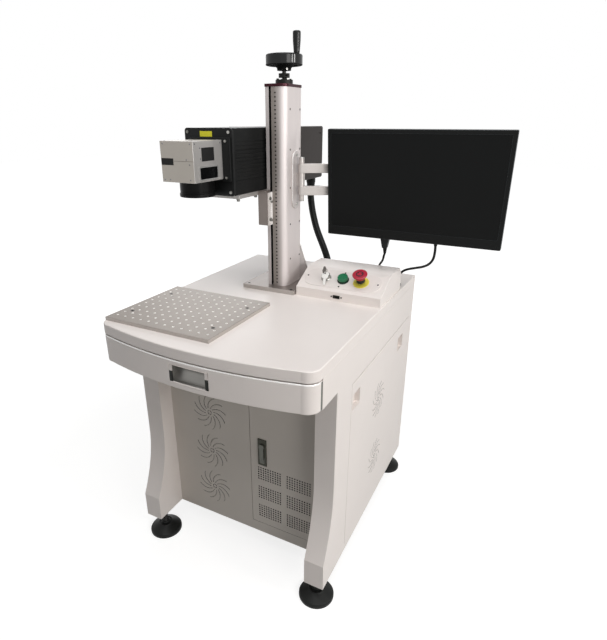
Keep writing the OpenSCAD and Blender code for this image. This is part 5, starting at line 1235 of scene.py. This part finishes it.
class MARKING_OT_controls(Operator):
    """Control box, panel, key switch, start button, emergency stop and data socket"""
    bl_idname = "marking.controls"
    bl_label = "Control box"

    def execute(self, context):
        make_finishes()
        side = rims(box_low, box_high, "x")

        def outer(p):
            """Edges of the folded cover, away from the holes cut in it."""
            if side(p):
                return p.z > box_low.z + 0.001
            return box_low.x + 0.003 < p.x < box_high.x - 0.003 and (
                near(p.z, box_high.z) or (near(p.z, 0.754) and p.y < 0.0275) or (near(p.z, 0.776) and p.y > 0.2125))

        soften("control_box", "body_powder_coat", [(1.3, outer)], angle=35)
        soften("panel_plate", "panel_engraved", angle=35)
        self.key(on_slope(SWITCH_X["key"]))
        self.start(on_slope(SWITCH_X["start"]))
        self.stop(on_slope(SWITCH_X["stop"]))
        soften("data_socket", "pull_end_black", angle=35)
        piece("socket_tongue", [(block, (164.4 - 5.6, 27.5, 740.2), (164.4 + 5.6, 38.5, 742), 0.2)],
              "bezel_black", "cabinet")
        head = formed("panel_screw", [(pan_head, 2.4, 1.3)])
        places = [on_slope(163.7 + x, SLOPE_MID + s, 2.2) for x, s in ((-103, 0), (103, 0), (0, -28), (0, 28))]
        stamp("panel_screws", head, places, "screw_black", "cabinet", "steel_dark")
        drop(head)
        return {"FINISHED"}

    def key(self, place):
        """Key switch with its key, and a split ring that holds a second key."""
        axis, middle = (place.to_3x3() @ Vector((0, 0, 1))).normalized(), place.translation

        def from_axis(c):
            return (c - middle - axis * (c - middle).dot(axis)).length

        barrel = [(0, -24), (9.9, -24), (9.9, 1.2), (14.5, 1.2), (14.8, 1.6), (14.4, 3), (12.4, 4), (12, 4.6),
                  (12, 12.8), (11.4, 13.8), (10.4, 14.15), (6.2, 14.15), (5.6, 13.6), (5.4, 12.4), (0, 12.4)]
        piece("key_barrel", [(lathe, barrel, place, 48)], "screw_nickel", "cabinet", angle=35,
              # the outer top rim of the barrel is painted black as painted shade on its chamfer
              paint=[("bezel_black", lambda c, n: from_axis(c) > 10.3 * mm and (c - middle).dot(axis) > 12.6 * mm),
                     ("key_bright", lambda c, n: n.dot(axis) > 0.9 and from_axis(c) < 10.3 * mm)])
        spare = at(119.6, 50.5, 789, (0.12, -0.93, 0.35))
        piece("spare_key", [(sheet_ring, circle(9.6), circle(2.2, y=6.2), -0.8, 0.8, spare),
                            (block, (-3.6, -26, -0.75), (3.6, -9.2, 0.75), 0.3, spare)],
              "key_bright", "key", angle=35)
        ring = at(118, 52, 801.5, (0.8, -0.6, 0.1))
        piece("key_ring", [(lathe, circle(0.5, 8, 7.2, z), ring, 40, True) for z in (-0.5, 0.5)],
              "key_steel", "key", angle=60)
        bow = place @ moved(0, 0, 30.9) @ spun(math.pi / 2, "Y")
        piece("key_and_bow", [(lathe, [(0, 9.5), (4.4, 9.5), (4.4, 13.9), (3.9, 14.4), (0, 14.4)], place, 28),
                              (block, (-1, -3.6, 13.8), (1, 3.6, 24.2), 0.2, place),
                              (sheet_ring, circle(11, ry=8.5), circle(2.4, x=-6), -1, 1, bow)],
              "key_steel", "key", ("switch_key",), angle=35)

    def start(self, place):
        bezel = [(9.9, -24), (9.9, 1.2), (16.2, 1.2), (16.4, 1.7), (16.2, 3.6), (15.3, 4.6), (14.9, 4.6),
                 (14.7, 3.2), (7.1, 3.2), (7.1, -24)]
        lens = [(0, -6), (7, -6), (7, 6.3), (14.2, 6.3), (14.4, 6.8), (14.4, 13.4), (14, 14.2), (13.2, 14.6),
                (12.6, 14.5), (12.2, 14), (11.4, 13.9), (6, 14.2), (0, 14.3)]
        piece("start_bezel", [(lathe, bezel, place, 48, True)], "bezel_dark", "cabinet", angle=35)
        piece("start_lens", [(lathe, lens, place, 56)], "button_green", "start", ("start_button",),
              angle=40)

    def stop(self, place):
        ring = [(9.9, -24), (9.9, 1.2), (21.4, 1.2), (21.8, 1.6), (21.8, 2.3), (21.4, 2.7), (13.2, 2.7), (7.1, 2.7),
                (7.1, -24)]
        neck = [(0, -6), (7, -6), (7, 7), (11, 7), (12, 7.9), (12, 18.5), (11, 19), (3.9, 19), (3.9, 26.3), (0, 26.3)]
        cap = [(4.05, 19.3), (12.5, 19.3), (13.5, 19.9), (15.6, 22.9), (18, 26.7), (19.6, 29.5), (20.3, 31.1),
               (20.3, 32.1), (19.4, 33), (17.4, 33.4), (13, 33.6), (0, 33.7), (0, 27.3), (4.05, 27.3)]
        mark = [(7.2, 33.3), (7.2, 33.8), (10.2, 33.76), (10.6, 33.3)]
        piece("stop_ring", [(lathe, ring, place, 64, True)], "ring_yellow", "cabinet",
              ("switch_bodies",), angle=35)
        piece("stop_neck", [(lathe, neck, place, 48)], "bezel_black", "stop", ("stop_stem",),
              angle=35)
        piece("stop_mushroom", [(lathe, cap, place, 72)], "stop_red", "stop_head", ("stop_cap",),
              angle=45, merge=True)
        piece("stop_top_mark", [(lathe, mark, place, 48, True)] +
              [(block, (4.6, -1.6, 33.4), (8, 1.6, 33.8), 0, place @ spun(a, "Z")) for a in (0.5, 2.6, 4.7)],
              "stop_mark", "stop_head", angle=35)


class MARKING_OT_arm(Operator):
    """Monitor arm: wall plate, links and swivel"""
    bl_idname = "marking.arm"
    bl_label = "Monitor arm"

    def execute(self, context):
        make_finishes()
        x = column_high.x
        face = x + 4 * mm
        soften("arm_wall_plate", "arm_satin", [(1.6, lambda p: near(p.x, face) and p.z > 0.95)],
               angle=38,
               # the plate's outer face gets the darker column metal as painted shade, and its eased edges the painted
               # highlight
               paint=[("gusset_sheet", lambda c, n: n.x > 0.98 and near(c.x, face)),
                      ("edge_bright", lambda c, n: 0.1 < n.x < 0.98 and x + 2.3 * mm < c.x < x + 4.1 * mm)])
        for link in ("arm_link_near", "arm_link_far"):
            soften(link, "arm_satin", [(1.2, self.long_edge)], angle=38)
        soften("monitor_bracket", "bracket_black", [(0.8, everywhere)], angle=38)
        head = formed("plate_screw", [(socket_head, 4.2, 2.6, 2)])
        stamp("wall_plate_screws", head, [at(face / mm, 103.5, z, (1, 0, 0)) for z in (1098, 968)], "screw_nickel",
              "cabinet", "steel_bright")
        drop(head)
        cap = [(0, 0), (7.4, 0), (7.4, 1.4), (6.6, 2.2), (3, 2.6), (2.6, 1.4), (0, 1.4)]
        piece("shoulder_caps", [(lathe, cap, at(18, 106, z, (0, 0, up)), 32) for z, up in ((1090.5, 1), (978.7, -1))],
              "screw_nickel", "cabinet")
        return {"FINISHED"}

    def long_edge(self, p):
        return any(near(p.z, z, 0.3) for z in (0.993, 1.017, 1.052, 1.076, 1.022, 1.046))


class MARKING_OT_monitor(Operator):
    """Monitor shell, panel and rear details"""
    bl_idname = "marking.monitor"
    bl_label = "Monitor"

    def execute(self, context):
        make_finishes()
        inverse = at_screen().inverted()

        def inside(test):
            """A test on a point in the monitor's own frame."""
            return lambda p, n=None: test(inverse @ p)

        def border(q):
            return near(abs(q.x), MONITOR_X, 3.5) or near(abs(q.z), MONITOR_Z, 3.5)

        def corner(q):
            return near(abs(q.x), MONITOR_X, 0.6) and near(abs(q.z), MONITOR_Z, 0.6) and 0.003 < q.y < 0.012

        def back_edge(q):
            return (near(q.y, 0.015, 0.5) and border(q)) or near(q.y, 0.048, 0.5)

        def edge_band(q):
            return abs(q.x) > MONITOR_X - 0.0013 or abs(q.z) > MONITOR_Z - 0.0013

        def slim_plug(bm):
            """Narrows the signal plug's hood towards its cable."""
            for v in bm.verts:
                q = inverse @ v.co
                if q.z < -0.1385 and near(q.x, -0.073, 16.5):
                    q.x = -0.073 + (q.x + 0.073) * (0.52 if q.z > -0.160 else 0.42)
                    v.co = inverse.inverted() @ q

        soften("monitor_shell", "shell_textured",
               [(4.5, inside(corner)), (1.2, inside(lambda q: abs(q.y) < 0.0005 and border(q))),
                (2.2, inside(back_edge))], angle=35,
               paint=[("bezel_edge", inside(edge_band))], change=slim_plug)
        soften("monitor_screen", "panel_off")
        piece("panel_border", [(sheet_ring, rounded_outline(436.2, 241.2, 1.4), rounded_outline(435, 240, 1),
                                -0.3, 0.12, at_screen(0, 0, 7.5) @ spun(math.pi / 2, "X"))],
              "bezel_edge", "monitor")
        piece("menu_keys", [(block, (-3.5, -1.3, -0.7), (3.5, 1.3, 0.7), 0.4, at_screen(x, 5, -137.6))
                            for x in (150, 162, 174, 186, 198)], "bezel_edge", "monitor")
        slot, head = formed("cooling_slot", [UNIT_CUBE]), formed("mount_screw", [(pan_head, 3.4, 2)])
        size = (3.2 * mm, 0.5 * mm, 16 * mm)
        # The cooling slots are dark patches on the back: painted shade where the openings are.
        stamp("cooling_slots", slot, [(at_screen(x, 48.05, z), size) for x in range(-120, 121, 8) for z in (50, -85)
                                      if z > 0 or not 40 < x < 92], "pull_end_black", "monitor", "monitor_black")
        stamp("mount_screws", head, [at_screen(x, 52, z) @ spun(-math.pi / 2, "X") for x in (-37.5, 37.5)
                                     for z in (-37.5, 37.5)], "screw_nickel", "monitor", "steel_bright")
        drop(slot, head)
        return {"FINISHED"}


class MARKING_OT_inside(Operator):
    """Laser source, industrial computer and fan"""
    bl_idname = "marking.inside"
    bl_label = "Inside"

    def execute(self, context):
        make_finishes()
        soften("laser_source", "unit_case", [(0.8, everywhere)])
        soften("industrial_computer", "unit_case")
        soften("fan_housing", "fan_moulding", angle=35)
        soften("fan_rotor", "fan_moulding", angle=35)
        return {"FINISHED"}


# ---------------------------------------------------------------- panel and registration

STEPS = ("stage", "cords", "cabinet", "feet", "drawer", "door", "work_plate", "column", "handwheel", "laser",
         "scan_head", "controls", "arm", "monitor", "inside")
GROUPS = (("marking_cabinet", MarkingCabinet), ("marking_plate", MarkingPlate), ("marking_column", MarkingColumn),
          ("marking_head", MarkingHead), ("marking_controls", MarkingControls), ("marking_monitor", MarkingMonitor),
          ("marking_stage", MarkingStage))


class MARKING_PT_looks(Panel):
    bl_idname = "MARKING_PT_looks"
    bl_label = "Laser marking machine"
    bl_space_type = "VIEW_3D"
    bl_region_type = "UI"
    bl_category = "Marking"

    def draw(self, context):
        for step in STEPS:
            self.layout.operator("marking." + step)
        for name, group in GROUPS:
            settings = getattr(context.scene, name)
            box = self.layout.box()
            for prop in settings.bl_rna.properties:
                if prop.identifier not in {"rna_type", "name"}:
                    box.prop(settings, prop.identifier)


CLASSES = (MARKING_OT_stage, MARKING_OT_cords, MARKING_OT_cabinet, MARKING_OT_feet, MARKING_OT_drawer,
           MARKING_OT_door, MARKING_OT_work_plate, MARKING_OT_column, MARKING_OT_handwheel, MARKING_OT_laser,
           MARKING_OT_scan_head, MARKING_OT_controls, MARKING_OT_arm, MARKING_OT_monitor, MARKING_OT_inside,
           MARKING_PT_looks)


def register():
    for name, group in GROUPS:
        bpy.utils.register_class(group)
    for cls in CLASSES:
        bpy.utils.register_class(cls)
    for name, group in GROUPS:
        setattr(bpy.types.Scene, name, PointerProperty(type=group))


def unregister():
    for name, group in reversed(GROUPS):
        delattr(bpy.types.Scene, name)
    for cls in reversed(CLASSES):
        bpy.utils.unregister_class(cls)
    for name, group in reversed(GROUPS):
        bpy.utils.unregister_class(group)


def main():
    register()
    for step in STEPS:
        getattr(bpy.ops.marking, step)()


if __name__ == "__main__":
    main()
